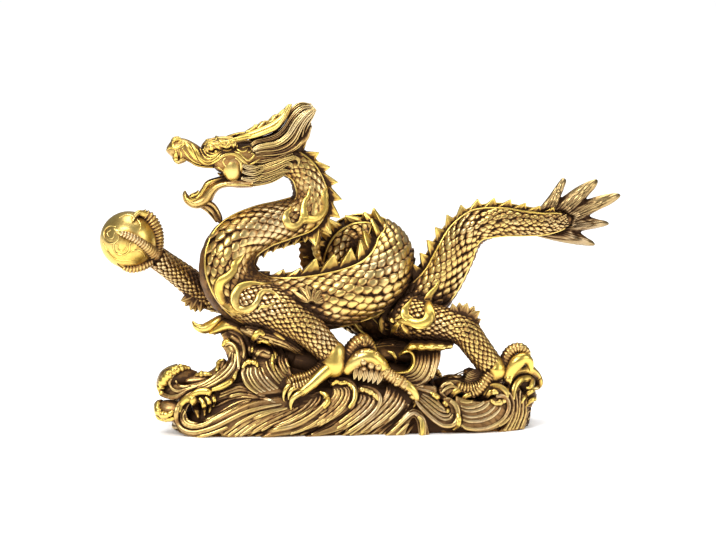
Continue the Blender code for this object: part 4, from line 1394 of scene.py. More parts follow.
WAVES = {
    "flat": Wave(
        [(212, 402), (228, 397), (245, 394), (262, 396), (280, 400), (298, 404)],
        [(216, 386), (230, 383), (244, 382), (258, 386), (272, 390), (290, 394)],
        -1.0,
    ),
    "low": Wave(
        [(228, 438), (250, 433), (274, 427), (298, 419), (318, 409), (330, 400), (329, 393), (320, 391)],
        [(204, 420), (225, 412), (246, 404), (266, 399), (286, 395), (300, 394), (308, 394), (312, 394)],
        2.0,
    ),
    "left_scroll": Wave(
        [
            (300, 405), (280, 410), (262, 415), (240, 424), (222, 431), (205, 436), (190, 435), (180, 429),
            (176, 419), (177, 407), (183, 397), (192, 391), (202, 389), (210, 392), (215, 399),
        ],
        [
            (296, 395), (276, 398), (256, 401), (240, 407), (225, 415), (210, 422), (199, 423), (191, 420),
            (187, 414), (188, 408), (191, 403), (195, 401), (199, 401), (202, 403), (204, 407),
        ],
        3.0,
    ),
    "drop": Wave(
        [
            (243, 350), (241, 362), (238, 372), (230, 382), (216, 390), (200, 395), (184, 398), (170, 398),
            (160, 393), (158, 384), (162, 374), (170, 368), (179, 365),
        ],
        [
            (236, 350), (234, 358), (229, 366), (220, 373), (208, 379), (196, 383), (185, 385), (177, 384),
            (171, 381), (168, 378), (169, 374), (174, 371), (180, 370),
        ],
        4.0,
    ),
    "horn_fall": Wave(
        [(222, 335), (228, 331), (235, 332), (242, 338), (246, 347), (246, 357), (242, 366)],
        [(225, 341), (229, 339), (234, 341), (238, 347), (240, 354), (239, 361), (236, 367)],
        3.0,
    ),
    "inner_fall": Wave(
        [(226, 342), (232, 343), (238, 349), (239, 358), (235, 368), (227, 376), (216, 383)],
        [(227, 352), (230, 352), (232, 356), (230, 362), (224, 368), (217, 373), (208, 379)],
        1.0,
    ),
    "curl_1": Wave(
        [(262, 395), (250, 389), (243, 380), (241, 371), (243, 364), (249, 360), (255, 362)],
        [(288, 392), (276, 384), (266, 376), (260, 370), (257, 367), (256, 366), (256, 366)],
        3.0,
    ),
    "curl_2": Wave(
        [(280, 391), (268, 381), (258, 370), (253, 361), (255, 353), (262, 348), (269, 352)],
        [(296, 384), (286, 374), (277, 365), (271, 360), (268, 357), (267, 356), (267, 356)],
        1.5,
    ),
    "curl_3": Wave(
        [(250, 356), (249, 345), (254, 336), (263, 331), (272, 334), (280, 344), (286, 356), (290, 368), (294, 380)],
        [(257, 356), (257, 348), (260, 343), (264, 341), (268, 343), (272, 350), (277, 360), (281, 370), (286, 380)],
        0.5,
    ),
    "middle_1": Wave(
        [(262, 437), (292, 433), (318, 425), (338, 416), (352, 405), (358, 394), (356, 383), (350, 375), (342, 371), (333, 373)],
        [(290, 417), (304, 412), (316, 407), (325, 402), (330, 397), (333, 392), (333, 388), (332, 385), (331, 383), (329, 382)],
        4.0,
    ),
    "middle_2": Wave(
        [(306, 437), (332, 432), (354, 423), (370, 413), (380, 402), (381, 392), (376, 385), (368, 382), (360, 384)],
        [(332, 426), (342, 419), (350, 412), (356, 405), (359, 399), (360, 394), (360, 391), (359, 390), (357, 389)],
        3.0,
    ),
    "middle_3": Wave(
        [(346, 437), (370, 430), (390, 419), (404, 409), (413, 399), (414, 390), (408, 383), (400, 380), (393, 382)],
        [(346, 429), (360, 420), (371, 411), (379, 403), (383, 396), (385, 391), (386, 388), (386, 387), (386, 386)],
        2.0,
    ),
    "hook": Wave(
        [(386, 436), (397, 424), (405, 414), (413, 409), (421, 412), (426, 421), (429, 434)],
        [(404, 436), (407, 427), (410, 420), (413, 417), (416, 419), (418, 426), (419, 435)],
        4.0,
    ),
    "right_scroll": Wave(
        [
            (409, 383), (413, 396), (420, 408), (430, 419), (441, 425), (451, 426), (458, 420), (459, 411),
            (456, 403), (450, 398), (443, 398),
        ],
        [
            (436, 387), (437, 394), (439, 401), (442, 405), (445, 408), (448, 410), (450, 410), (450, 408),
            (449, 406), (447, 405), (445, 405),
        ],
        3.5,
    ),
    "nest": Wave(
        [(452, 420), (462, 427), (475, 431), (489, 430), (501, 425), (510, 415), (511, 404), (507, 396), (500, 390), (492, 389)],
        [(456, 396), (464, 399), (472, 401), (480, 402), (487, 401), (492, 399), (494, 398), (495, 397), (495, 396), (494, 395)],
        2.5,
    ),
    "column": Wave(
        [
            (498, 433), (507, 421), (511, 408), (511, 396), (508, 385), (509, 374), (515, 367), (524, 365),
            (533, 370), (539, 378), (541, 386), (536, 390),
        ],
        [
            (523, 432), (527, 420), (529, 410), (527, 400), (522, 392), (519, 386), (521, 380), (525, 377),
            (529, 378), (531, 382), (532, 385), (531, 387),
        ],
        1.5,
    ),
    "small": Wave(
        [(529, 424), (531, 411), (531, 401), (529, 393), (532, 389), (536, 394), (537, 400)],
        [(521, 424), (524, 411), (525, 403), (525, 398), (528, 395), (531, 398), (532, 402)],
        0.0,
    ),
    "thigh": Wave(
        [(441, 346), (440, 360), (435, 373), (425, 384), (412, 390), (399, 390), (388, 385)],
        [(411, 350), (413, 358), (412, 365), (408, 371), (402, 374), (395, 373), (390, 370)],
        1.0,
    ),
    "water": Wave(
        [(438, 393), (442, 386), (450, 381), (459, 381), (468, 386), (478, 392)],
        [(442, 400), (447, 395), (453, 391), (460, 391), (466, 394), (474, 398)],
        0.0,
    ),
}

# The waves whose sheets the back of the base repeats.
BACK_WAVES = (
    "flat", "low", "left_scroll", "middle_1", "middle_2", "middle_3", "hook", "right_scroll", "nest",
    "column", "small", "curl_2", "curl_3",
)


@dataclass(frozen=True)
class Sheaf:
    """Ridges that run side by side between two guides in the camera's view."""

    first: Rows
    last: Rows
    count: int
    width: float = 1.2


SHEAVES = (
    Sheaf([(246, 326), (256, 328), (268, 331), (280, 335), (292, 341), (303, 349)],
          [(250, 333), (258, 336.5), (268, 340), (278, 343), (288, 347), (297, 353)], 4, 1.2),
    Sheaf([(231, 352), (230, 359), (226, 366), (219, 373), (210, 380), (200, 385), (191, 386)],
          [(236, 353), (236, 362), (233, 369), (227, 376), (218, 382), (208, 387), (198, 390)], 3, 1.3),
    Sheaf([(184, 408), (181, 414), (182.5, 420), (187, 425), (195, 427), (204, 425.5), (213, 421), (222, 416),
           (232, 410), (241, 405), (249, 402)],
          [(189, 413), (187.5, 416.5), (189, 420), (193, 422), (199, 422.5), (206, 420), (214, 416), (224, 410),
           (234, 404), (243, 400.5), (252, 399)], 3, 1.1),
    Sheaf([(216, 406), (224, 402), (232, 398.5), (241, 397), (250, 397), (262, 398), (276, 402)],
          [(221, 392.5), (229, 389.5), (237, 387), (242, 386.5), (249, 389), (256, 392.5), (266, 395.5)], 4, 1.15),
    Sheaf([(222, 435), (230, 429.5), (240, 422), (250, 416.5), (260, 412.5), (270, 410), (284, 407.5)],
          [(248, 435), (254, 431), (262, 426), (271, 421), (281, 416.5), (290, 412), (298, 407)], 5, 1.2),
    Sheaf([(262, 429.5), (272, 424.5), (283, 420), (293, 415), (302, 409.5), (308, 403.5), (312, 398.5)],
          [(268, 431), (280, 426), (292, 421), (303, 415), (313, 408), (319.5, 401), (321, 395.5)], 3, 1.2),
    Sheaf([(244.5, 367), (243, 373), (245, 380), (250, 387), (258, 393)],
          [(262.5, 367), (265.5, 374.5), (270, 380.5), (275, 385), (279, 388)], 6, 1.1),
    Sheaf([(266, 361), (268, 368), (272, 374.5), (276, 380), (280, 384)],
          [(287, 352), (286, 357), (286.5, 361), (288, 365), (290, 368)], 6, 1.15),
    Sheaf([(316, 428), (327, 421), (338, 413), (346, 404.5), (350, 396), (349.5, 389.5), (347, 386.5)],
          [(322, 408), (326, 405), (330, 401), (333, 397.5), (335, 394), (335, 391), (334, 389)], 5, 1.25),
    Sheaf([(290, 433), (303, 428.5), (314, 422.5), (323, 416), (329, 410), (332, 404)],
          [(302, 434), (311, 430), (319, 425.5), (326, 420), (333, 414), (338, 409)], 2, 1.2),
    Sheaf([(335, 433), (345, 427), (355, 420), (364, 413), (371, 406), (374, 400), (373, 397)],
          [(341, 417), (347, 412.5), (352, 408), (356, 403.5), (359, 399.5), (360, 396.5), (360, 394)], 4, 1.25),
    Sheaf([(350, 434), (362, 425), (376, 414), (386, 404.5), (392, 397), (396, 388)],
          [(383, 435), (391, 428.5), (399, 422.5), (405, 417.5), (409, 412.5), (411, 407)], 6, 1.1),
    Sheaf([(372, 412), (381, 404), (387, 396.5), (390, 390), (390.5, 386)],
          [(383, 400), (385, 396.5), (386.5, 393), (387.3, 389), (387, 385)], 2, 1.0),
    Sheaf([(395, 435), (403, 427.5), (409, 421.5), (413, 418)],
          [(405, 435), (408, 430), (411, 426.5), (414, 423.5)], 2, 1.1),
    Sheaf([(418, 399), (424, 405), (431, 411.5), (438, 417), (444, 419.5), (450, 418.5), (453, 414.5)],
          [(422, 393.5), (427, 396), (431, 398.5), (435, 401.5), (438.5, 404.5), (441.5, 407), (444, 409.5)], 4, 1.1),
    Sheaf([(436.5, 352), (436, 362), (434, 372), (430, 380), (424, 385.5), (417, 388), (411, 387)],
          [(416.5, 353), (417.2, 357), (416.8, 361.5), (415.5, 365.5), (413.5, 369), (410, 372), (405, 374)], 6, 1.15),
    Sheaf([(462, 419), (470, 421), (480, 420.5), (490, 417), (497, 411.5), (500, 407)],
          [(460, 401), (465, 402), (470, 401.5), (474, 400.5), (477, 399), (479, 398)], 5, 1.15),
    Sheaf([(508, 391), (511, 400), (512, 410), (509, 420), (504, 430)],
          [(531, 389.5), (526, 396), (524.5, 405), (524.5, 414), (520, 428)], 5, 1.7),
)

# The bundles that fill the top of the back, where the front has the paws.
BACK_SHEAVES = (
    Sheaf([(246, 326), (256, 328), (268, 331), (280, 335), (292, 341), (303, 349)],
          [(250, 333), (258, 336.5), (268, 340), (278, 343), (288, 347), (297, 353)], 4, 1.2),
    Sheaf([(288, 378), (304, 375), (322, 380), (342, 374), (364, 368), (386, 373), (406, 383)],
          [(290, 354), (306, 350), (328, 354), (350, 351), (372, 353), (394, 362), (410, 372)], 8, 1.5),
    Sheaf([(394, 394), (412, 397), (430, 401), (450, 403)],
          [(402, 377), (416, 383), (432, 389), (452, 392)], 5, 1.4),
)

# The bold ridges at the edges of the waves: across, down, half width.
RIMS = [
    [(226, 345, 1), (230, 343, 1.6), (234.5, 345.5, 1.8), (237.5, 351, 1.8), (238.5, 358, 1.7), (239, 365, 1.4),
     (239, 370, 0.8)],
    [(214, 334, 1), (221, 331, 1.7), (230, 330.5, 1.8), (238, 334, 1.8), (242.5, 341, 1.6), (244.5, 350, 1.4),
     (243.5, 358, 0.8)],
    [(203, 389, 0.8), (196, 391, 1.3), (189, 394.5, 1.5), (183, 400, 1.8), (178.5, 407, 2), (177, 414, 2.1),
     (178, 421, 2.1), (182, 427.5, 2.1), (189, 431, 2.1), (197, 431.5, 2.1), (206, 429.5, 2), (216, 426, 2),
     (226, 421, 1.9), (236, 416, 1.9), (246, 411.5, 1.8), (256, 408.5, 1.6), (266, 406, 1.4), (282, 403.5, 0.7)],
    [(180, 431, 1.2), (187, 435, 1.8), (197, 436, 1.8), (208, 434, 1.6), (219, 430, 1.3), (228, 426, 0.8)],
    [(198, 386, 0.8), (191, 388.5, 1.3), (184, 392.5, 1.6), (178, 395.5, 1.9), (170, 396, 2.1), (163, 393, 2.1),
     (161, 388, 2.1)],
    [(193, 386.5, 0.7), (186, 389, 1.2), (179, 390.5, 1.3), (173, 388, 1.3), (170.5, 382, 1.3), (173, 376, 1.2),
     (178, 371, 0.7)],
    [(190, 385.5, 0.6), (184, 386, 1), (179, 384, 1), (176.5, 380, 0.6)],
    [(256, 435, 1.2), (266, 431.5, 1.8), (278, 428.5, 2.1), (290, 426, 2.2), (301, 421.5, 2.3), (311, 415.5, 2.3),
     (319, 409.5, 2.3), (325, 403.5, 2.3), (328, 397.5, 2.3), (326, 393, 1.8), (321, 391.5, 1.4), (315, 392, 0.8)],
    [(312, 434, 1), (322, 428, 1.6), (332, 422, 2), (341, 415.5, 2.1), (349, 408.5, 2.2), (354, 400.5, 2.2),
     (356, 392, 2.2), (353.5, 384.5, 2.1), (348, 379.5, 2), (341, 378, 1.6), (334, 380.5, 0.9)],
    [(342, 435, 1), (351, 429.5, 1.5), (360, 423.5, 1.8), (368, 417.5, 2), (375, 410.5, 2), (379.5, 402.5, 2),
     (379.5, 395.5, 2), (375, 390, 2), (368, 387, 2), (361, 387, 1.8), (356.5, 390, 0.9)],
    [(386, 435, 1), (396, 427, 1.4), (405, 418.5, 1.5), (410, 414, 1.6), (414, 412.5, 1.7), (418, 415, 2),
     (422, 418, 2.2), (424, 423, 2), (424.5, 429, 1.6), (424.5, 434, 1)],
    [(415, 399, 1.1), (419, 405, 1.6), (425, 411.5, 1.7), (432, 418, 1.7), (439, 423, 1.7), (446, 425.5, 1.7),
     (453, 424, 1.8), (457, 418.5, 2), (457.5, 411, 2.2), (455, 404.5, 2.2), (450, 400.5, 1.4)],
    [(377, 345, 0.7), (381, 342.5, 1.2), (385, 341, 0.7)],
    [(390, 344, 0.7), (394, 345, 1.1), (398, 342.5, 1.1), (403, 342, 0.9), (408, 345.5, 0.7)],
    [(255, 359, 0.8), (257, 354.5, 1.4), (260, 350.5, 1.8), (264, 349, 1.9), (268, 351, 1.8), (270, 353, 0.9)],
    [(251, 357, 0.8), (250, 350, 1.4), (251, 344, 1.8), (254, 338.5, 2.1), (258, 334.5, 2.6), (261, 331, 1.6)],
    [(414, 389, 0.8), (422, 389.5, 1.2), (430, 391.5, 1.2), (437, 394.5, 1)],
    [(441, 393, 0.7), (446, 388, 1.2), (452, 386, 1.2), (458, 388, 0.8)],
    [(270, 339, 0.7), (274, 343, 1.1), (276.5, 348, 1.2), (277, 355, 0.9)],
    [(291, 334, 0.9), (293, 338.5, 1.6), (297, 342.5, 1.3), (299.5, 345.5, 0.6)],
    [(289, 346, 0.6), (293, 349, 0.9), (296, 352, 0.5)],
    [(461, 424, 0.9), (466, 427.5, 1.5), (475, 428.7, 1.6), (485, 427.7, 1.6), (494, 424.5, 1.6), (502, 419.5, 1.7),
     (507, 412.5, 1.8), (508.5, 405, 2), (506, 398.5, 2.1), (501, 395.5, 2), (496, 396.5, 1.2)],
    [(484, 393, 0.8), (488, 387.5, 1.4), (494, 384.7, 1.6), (501, 386.5, 1.7), (507, 391.5, 1.8), (511, 398, 1.8),
     (512.5, 405, 1.8), (511, 413, 1.7), (506, 420.5, 1.5), (499, 425.5, 0.9)],
    [(440, 388, 0.8), (444, 384, 1.3), (449, 382.5, 1.3), (453, 384.5, 0.8)],
    [(430, 383, 0.7), (436, 389, 1.2), (442, 394, 1.2), (447, 398, 0.8)],
    [(443, 377, 0.7), (449, 375.5, 1.2), (456, 377.5, 1.2), (462, 377, 0.8)],
]

# The smooth, rounded lobes of the waves: across, down, half width.
LOBES = [
    [(507, 397, 1.4), (506.5, 388, 2.6), (508.5, 379, 3.4), (514.5, 372, 3.6), (523, 369, 3.6), (531, 370.5, 3.6),
     (537, 376, 3.6), (540, 383, 3), (537.5, 387.5, 2.2), (532, 388.5, 1)],
    [(513, 399, 1.4), (513.5, 390, 2.8), (516.5, 383, 3.4), (522, 378.5, 3.4), (528, 378.5, 3.2), (531.5, 382.5, 2.6),
     (530, 387, 1.8), (526, 388, 0.8)],
    [(521, 403, 1), (524.5, 397, 1.8), (529, 392.5, 2.2), (534, 390, 1.6)],
    [(526, 406, 1), (529.5, 401.5, 1.8), (533.5, 399, 2.2), (536.5, 399.5, 1.2)],
    [(271.5, 330, 1.6), (275.5, 331.8, 3.2), (280, 335, 3), (285, 338.8, 1.2)],
    [(253.5, 339, 1.4), (256.5, 334, 2.9), (261, 331.5, 3.2), (264.5, 334.5, 2)],
    [(237, 371, 1), (234, 378, 2), (228, 383, 2.5), (221, 386.5, 2.5), (213, 389, 1.4)],
    [(418, 416, 1.4), (421.5, 421, 2.4), (422, 428, 2.4), (421.5, 434, 1.6)],
    [(457, 413, 1.2), (458.5, 419, 2.4), (457, 425, 2.2), (453, 429, 1.2)],
    [(320, 391, 1.2), (325.5, 394.5, 2.6), (328, 401, 2.6), (324, 407, 1.6)],
    [(273, 354, 0.9), (272.5, 362, 1.6), (274.5, 370, 0.9)],
    [(180.5, 411, 1), (182.5, 403.5, 2.4), (187.5, 398.5, 3.2), (193, 398.5, 3.9), (196, 403.5, 3.8), (197.5, 410, 3),
     (199.3, 417.5, 1)],
    [(190, 396, 1.4), (196, 392.5, 2.6), (202, 390.5, 2.9), (208.5, 391, 2.9), (213, 394.5, 2.6), (215, 400, 1.8),
     (214, 406, 0.8)],
    [(200.5, 397.5, 1.4), (203.8, 402, 2.1), (205.3, 408, 1.8), (205.5, 415, 0.9)],
    [(206.5, 396.5, 1.4), (209.8, 401, 2), (210.8, 406.5, 1.6), (210, 412, 0.7)],
    [(483, 395.5, 1.2), (486, 389.5, 2.6), (491, 386, 3.1), (497, 385.5, 3), (503, 388.5, 2.6), (508, 394, 2.2)],
    [(486, 397, 1.4), (490, 392, 2.8), (494.5, 391.5, 2.4), (497.5, 393, 1.2)],
    [(351, 384, 1.2), (355, 390, 2.4), (354.5, 399, 2.2), (349, 407, 1.2)],
    [(388, 351.5, 0.8), (392.5, 353, 1.4), (395.5, 357, 1.2), (396, 362.5, 0.7)],
]

# The thick, knobbed foam along the tops of the waves: across, down, half width.
FOAM = [
    [(191, 368.5, 1.4), (184, 367.5, 3), (176.5, 369.7, 3.6), (169.5, 374.5, 3.8), (164.5, 381, 3.8), (162, 388.5, 3.4),
     (163, 394, 2)],
    [(223, 346, 1), (225.5, 342, 2.4), (229, 340.5, 2)],
    [(224, 359, 0.8), (220, 361, 1.9), (218.5, 366, 1.9), (217, 371, 1)],
    [(196, 374.5, 1), (201, 374, 2.6), (207, 374, 2.6), (212.5, 374.5, 1)],
    [(161, 400, 1), (158.5, 405, 2.4), (159.5, 410.5, 3), (164, 414, 3), (170, 413.5, 2.4), (174, 410, 1.2)],
    [(157, 414, 1.4), (162, 417.8, 2.2), (169.5, 418.2, 2.2), (175, 417.5, 1.3)],
    [(252, 352, 0.8), (254, 345.5, 1.4), (258, 341.8, 1.6), (263, 340.2, 1.7), (268, 341.8, 1.6), (272, 346, 1.4),
     (275, 352, 1.2), (276, 358, 0.7)],
    [(243, 367.5, 1), (246, 363, 2), (251, 361.3, 2.3), (256, 363, 2.2), (258, 366.5, 1)],
    [(331, 385, 1.1), (336, 381.5, 2.1), (341, 382.5, 2.1), (346, 382, 2), (351, 385, 2), (353, 390, 1)],
    [(357, 391, 1.4), (363, 389, 2.5), (369, 391, 2.5), (375, 395, 2.2), (378, 399.5, 1)],
    [(383, 379, 1.6), (391, 378.5, 2.6), (398, 381, 2.8), (405, 385, 3), (410.5, 390.5, 3), (413.5, 396.5, 2.8),
     (414.5, 403, 1.6)],
    [(430, 392, 1), (434.5, 395, 2.1), (439, 398.5, 2.4), (443.5, 402.5, 2.5), (447.5, 407.5, 2.5), (447, 412, 1.2)],
    [(490, 399.5, 1), (495, 403, 1.9), (500.5, 402, 2.3), (505, 400.5, 1.6)],
]

# The smooth tongue of water at the left, in two lobes: across, down, depth, half depth, half height.
TONGUE = [
    [(193, 321.5, -8, 1, 0.9), (196.5, 326, -10, 3.5, 2.6), (203, 328.5, -12, 5, 3.9), (209, 327, -13, 5.5, 4.6),
     (214.5, 323, -14, 5.5, 3.9), (220, 319, -14, 5, 3.2), (226, 316.5, -14, 4, 2.4)],
    [(210, 333, -15, 2, 1), (216, 330, -17, 5, 2.8), (223, 326.5, -18, 7, 4.6), (230, 324.5, -19, 8, 5.6),
     (237, 326.5, -20, 8, 5.6), (243, 332, -21, 7.5, 5), (247, 340, -22, 7, 4.4), (249, 350, -23, 6, 3)],
]

# The foam under the hind leg, in the same way.
CREST = [
    (407, 347.5, -28, 6, 1.6), (412, 345.2, -31, 11, 3.2), (418, 345, -33, 13, 3.6), (425, 345.2, -34, 14, 3.4),
    (432, 344.8, -34, 14, 3.7), (439, 345, -33, 13, 3.6), (445, 344.6, -31, 11, 3.2), (450, 343.6, -29, 6, 1.6),
]

# The ring of the dark eye beside it, in the same way.
EYE = [
    (399, 354.5, -33, 3, 1), (403.5, 351.5, -35, 4, 1.6), (409, 350.7, -36, 4, 1.7), (412.5, 354.5, -36, 4, 1.7),
    (413.5, 361, -36, 4, 1.7), (411.5, 367, -37, 4, 1.7), (407, 371.3, -38, 4, 1.7), (399, 372.8, -38, 4, 1.7),
    (392, 371.5, -38, 4, 1.5), (386.5, 369, -38, 3, 0.8),
]

# The hollows behind the ridges, darkened as painted shade in the ground's finish: across, down, depth, half depth, half
# height.
SHADE_HOLLOWS = [
    [(164, 379, -26, 5, 6), (172, 377, -26, 8, 7.5), (182, 376.5, -26, 9, 8), (191, 378, -26, 8, 7), (200, 380, -26, 7, 5)],
    [(276, 350, -16, 16, 6), (288, 353, -12, 22, 13), (306, 358, -12, 24, 15), (324, 362, -12, 24, 13),
     (344, 366, -12, 24, 12)],
    [(362, 356, -10, 20, 6), (378, 352, -8, 22, 8), (395, 352, -8, 22, 8), (412, 353, -8, 22, 7.5),
     (427, 354, -8, 18, 5.5), (434, 358, -8, 12, 4)],
    [(243, 350, -12, 8, 4), (249, 354, -12, 12, 6), (256, 360, -12, 12, 7), (264, 368, -12, 10, 7)],
    [(382, 341, 0, 6, 2), (394, 341.5, 0, 12, 4.5), (405, 341.5, 0, 12, 4.5), (417, 342, 0, 6, 2)],
    [(512, 380, -24, 6, 3), (520, 382, -24, 7, 5.5), (527, 387, -24, 7, 5.5), (529, 397, -24, 7, 5), (523, 408, -24, 8, 5)],
    [(466, 371, -26, 5, 4), (472, 376, -26, 7, 6), (476, 384, -28, 8, 6), (470, 394, -30, 8, 5)],
    [(434, 383, -18, 6, 3), (441, 383, -20, 9, 4.5), (450, 382, -22, 10, 5.5), (460, 383, -24, 10, 6.5),
     (470, 386, -24, 9, 6)],
]

# The paler bodies behind the ridges, in the same way.
BODIES = [
    [(159, 402, -26, 4, 4), (163, 408, -30, 8, 7), (170, 409, -33, 10, 8), (180, 412, -36, 10, 9)],
    [(226, 343, -24, 4, 4), (233, 350, -26, 7, 6), (236, 362, -28, 7, 6), (230, 374, -30, 7, 6), (216, 383, -31, 7, 5)],
    [(232, 336, -22, 6, 4), (241, 344, -24, 7, 5), (243, 356, -26, 7, 5), (242, 370, -28, 7, 6), (238, 384, -32, 7, 6)],
    [(244, 328, -28, 8, 3), (252, 331, -31, 12, 5), (262, 334, -33, 13, 6.5), (274, 336.5, -33, 13, 6.5),
     (286, 341, -31, 12, 6), (296, 347, -27, 11, 4.5), (303, 352, -23, 9, 3)],
    [(250, 347, -20, 10, 4), (258, 350, -22, 14, 7), (268, 353, -22, 15, 8), (278, 360, -22, 12, 7)],
    [(186, 380, -30, 6, 3), (200, 379, -30, 9, 5), (212, 376, -30, 8, 4.5), (221, 368, -28, 7, 4), (224, 360, -26, 5, 3)],
    [(480, 400, -32, 6, 4), (487, 393, -33, 8, 5), (496, 391, -34, 8, 6), (505, 395, -34, 8, 5.5), (510, 404, -32, 7, 5)],
]


@dataclass
class Base:
    """The base of waves: a fluted mound, the waves over both its faces and their smooth crests."""

    half_length: float = 156.0
    half_depth: float = 55.0
    top_half_depth: float = 8.0
    lean_height: float = 100.0
    lean_power: float = 1.5
    end_power: float = 6.0
    sheet_depth: float = 11.0
    end_half_depth: float = 34.0
    end_lines: int = 7
    top_half_length: float = 146.0
    top_lines: int = 11
    sheet_dish: float = 0.6
    steps_per_row: int = 5
    back_steps_per_row: int = 3
    ridge_lift: float = 0.5
    ridge_rise: float = 0.5
    knob_spacing: float = 6.6
    knob_depth: float = 0.11

    def face(self, places: np.ndarray) -> np.ndarray:
        """How far the base's face stands before its middle.

        Args:
            places: Places, x and z of which count.

        Returns:
            The distance along Y for each place.
        """
        rise = np.clip(places[..., 2] / self.lean_height, 0.0, 0.99)
        depth = self.top_half_depth + (self.half_depth - self.top_half_depth) * (1.0 - rise**self.lean_power)
        end = np.clip(np.abs(places[..., 0]) / self.half_length, 0.0, 0.995)
        return depth * np.sqrt(1.0 - end**self.end_power)

    def on_face(self, rows: Rows, proud: float, side: Side) -> np.ndarray:
        """Places on a face that the camera sees at across and down, or that the back repeats.

        Args:
            rows: Across and down.
            proud: How far before the face each place is.
            side: The face.

        Returns:
            The places.
        """
        table = np.array(rows, dtype=float)
        if side is Side.BACK:
            return SIGHT.behind(table[:, 0], table[:, 1])
        depth = np.full(len(table), -self.half_depth)
        for _ in range(8):
            places = SIGHT.place(table[:, 0], table[:, 1], depth)
            depth = 0.5 * depth - 0.5 * (self.face(places) + proud)
        return places

    def wave(self, carving: Carving, wave: Wave, side: Side) -> None:
        """Adds one wave's plain sheet to a face of the base.

        Args:
            carving: Where it goes.
            wave: The wave.
            side: The face.
        """
        steps = (self.steps_per_row if side is Side.FRONT else self.back_steps_per_row) * len(wave.rim)
        rim, root = (self.on_face(spline(rows, steps), wave.proud, side) for rows in (wave.rim, wave.root))

        def lift(places: np.ndarray, rise: np.ndarray) -> np.ndarray:
            """Moves places before the base's face."""
            moved = places.copy()
            moved[..., 1] = side.value * np.maximum(self.face(places) + wave.proud + rise, 1.0)
            return moved

        carving.sheet(rim, root, lift, self.sheet_dish, self.sheet_depth)

    def ridges(self, drape: Drape) -> Carving:
        """The ridges of the waves on both faces.

        Args:
            drape: Lays them on the waves.

        Returns:
            The ridges.
        """
        carving = Carving("wave_ridges")
        for side, per_row, around in ((Side.FRONT, 6, 8), (Side.BACK, 4, 6)):
            for number, sheaf in enumerate(SHEAVES if side is Side.FRONT else SHEAVES + BACK_SHEAVES):
                first, last = np.array(sheaf.first, dtype=float), np.array(sheaf.last, dtype=float)
                fade = np.sin(np.linspace(0.14, 0.88, len(first)) * math.pi) ** 0.5
                for line in range(sheaf.count):
                    uneven = 0.13 * math.sin(2.4 * line + number)
                    share = np.clip((line + uneven) / max(sheaf.count - 1, 1), 0.0, 1.0)
                    size = sheaf.width * (1.25 + 0.2 * math.sin(3.7 * line + 1.3 * number))
                    rows = np.column_stack([first * (1 - share) + last * share, size * fade])
                    laid = drape.lay(rows, self.ridge_lift, per_row, side)
                    band(carving, laid, self.ridge_rise, side.out, around)
            for rows in RIMS:
                laid = drape.lay(rows, self.ridge_lift + 0.8, per_row, side)
                band(carving, laid, 0.85, side.out, around + 2)
        for end in (-1.0, 1.0):
            for line in range(self.end_lines):
                y = np.linspace(-self.end_half_depth, self.end_half_depth, 36)
                z = 2.5 + 4.4 * line + 2.4 * np.sin(y / 13.0 + 0.8 * line + 2.0 * end)
                self.mound_ridge(carving, drape, np.column_stack([0 * y, y, z]), np.array([end, 0.0, 0.0]))
        for line in range(self.top_lines):
            x = np.linspace(-self.top_half_length, self.top_half_length, 110)
            y = -25.0 + 5.2 * line + 4.0 * np.sin(x / 21.0 + 0.5 * line)
            self.mound_ridge(carving, drape, np.column_stack([x, y, 0 * x]), np.array([0.0, 0.0, 1.0]))
        return carving

    def mound_ridge(self, carving: Carving, drape: Drape, places: np.ndarray, out: np.ndarray) -> None:
        """Adds one ridge to the mound.

        Args:
            carving: Where it goes.
            drape: Lays it on the mound.
            places: The places of the ridge, in the middle of the mound.
            out: The way that it stands out.
        """
        laid, _ = drape.drop(places, out, self.ridge_lift)
        size = 1.7 * np.sin(np.linspace(0.06, 0.94, len(laid)) * math.pi) ** 0.5
        band(carving, np.column_stack([laid, size]), self.ridge_rise, out, 6)

    def foam(self, drape: Drape) -> Carving:
        """The knobbed foam and the smooth lobes on both faces, the tongue, the crest and the ring.

        Args:
            drape: Lays them on the waves.

        Returns:
            The foam.
        """
        carving = Carving("wave_crests")
        for side, per_row, around in ((Side.FRONT, 9, 12), (Side.BACK, 6, 8)):
            for number, rows in enumerate(FOAM):
                laid = drape.lay(rows, self.ridge_lift + 1.4, per_row, side)
                turn = arc_length(laid) / self.knob_spacing * 2 * math.pi
                laid[:, 3] *= 1.0 + self.knob_depth * (np.sin(turn + number) + 0.7 * np.sin(1.7 * turn + 2 * number))
                band(carving, laid, 0.9, side.out, around)
            for rows in LOBES:
                band(carving, drape.lay(rows, self.ridge_lift + 1.9, per_row - 1, side), 0.9, side.out, around + 2)
        for rows in (*TONGUE, EYE):
            carving.limb(SIGHT.rows(rows), 40, 24, (0.0, 1.0, 0.0))
        carving.limb(SIGHT.rows(CREST), 60, 24, (0.0, 1.0, 0.0), (self.knob_spacing, self.knob_depth))
        return carving

    def sheets(self, carving: Carving) -> None:
        """Adds the plain sheets and bodies of the front's waves."""
        for wave in WAVES.values():
            self.wave(carving, wave, Side.FRONT)
        for rows in BODIES:
            carving.limb(SIGHT.rows(rows), 30, 24, (0.0, 1.0, 0.0))

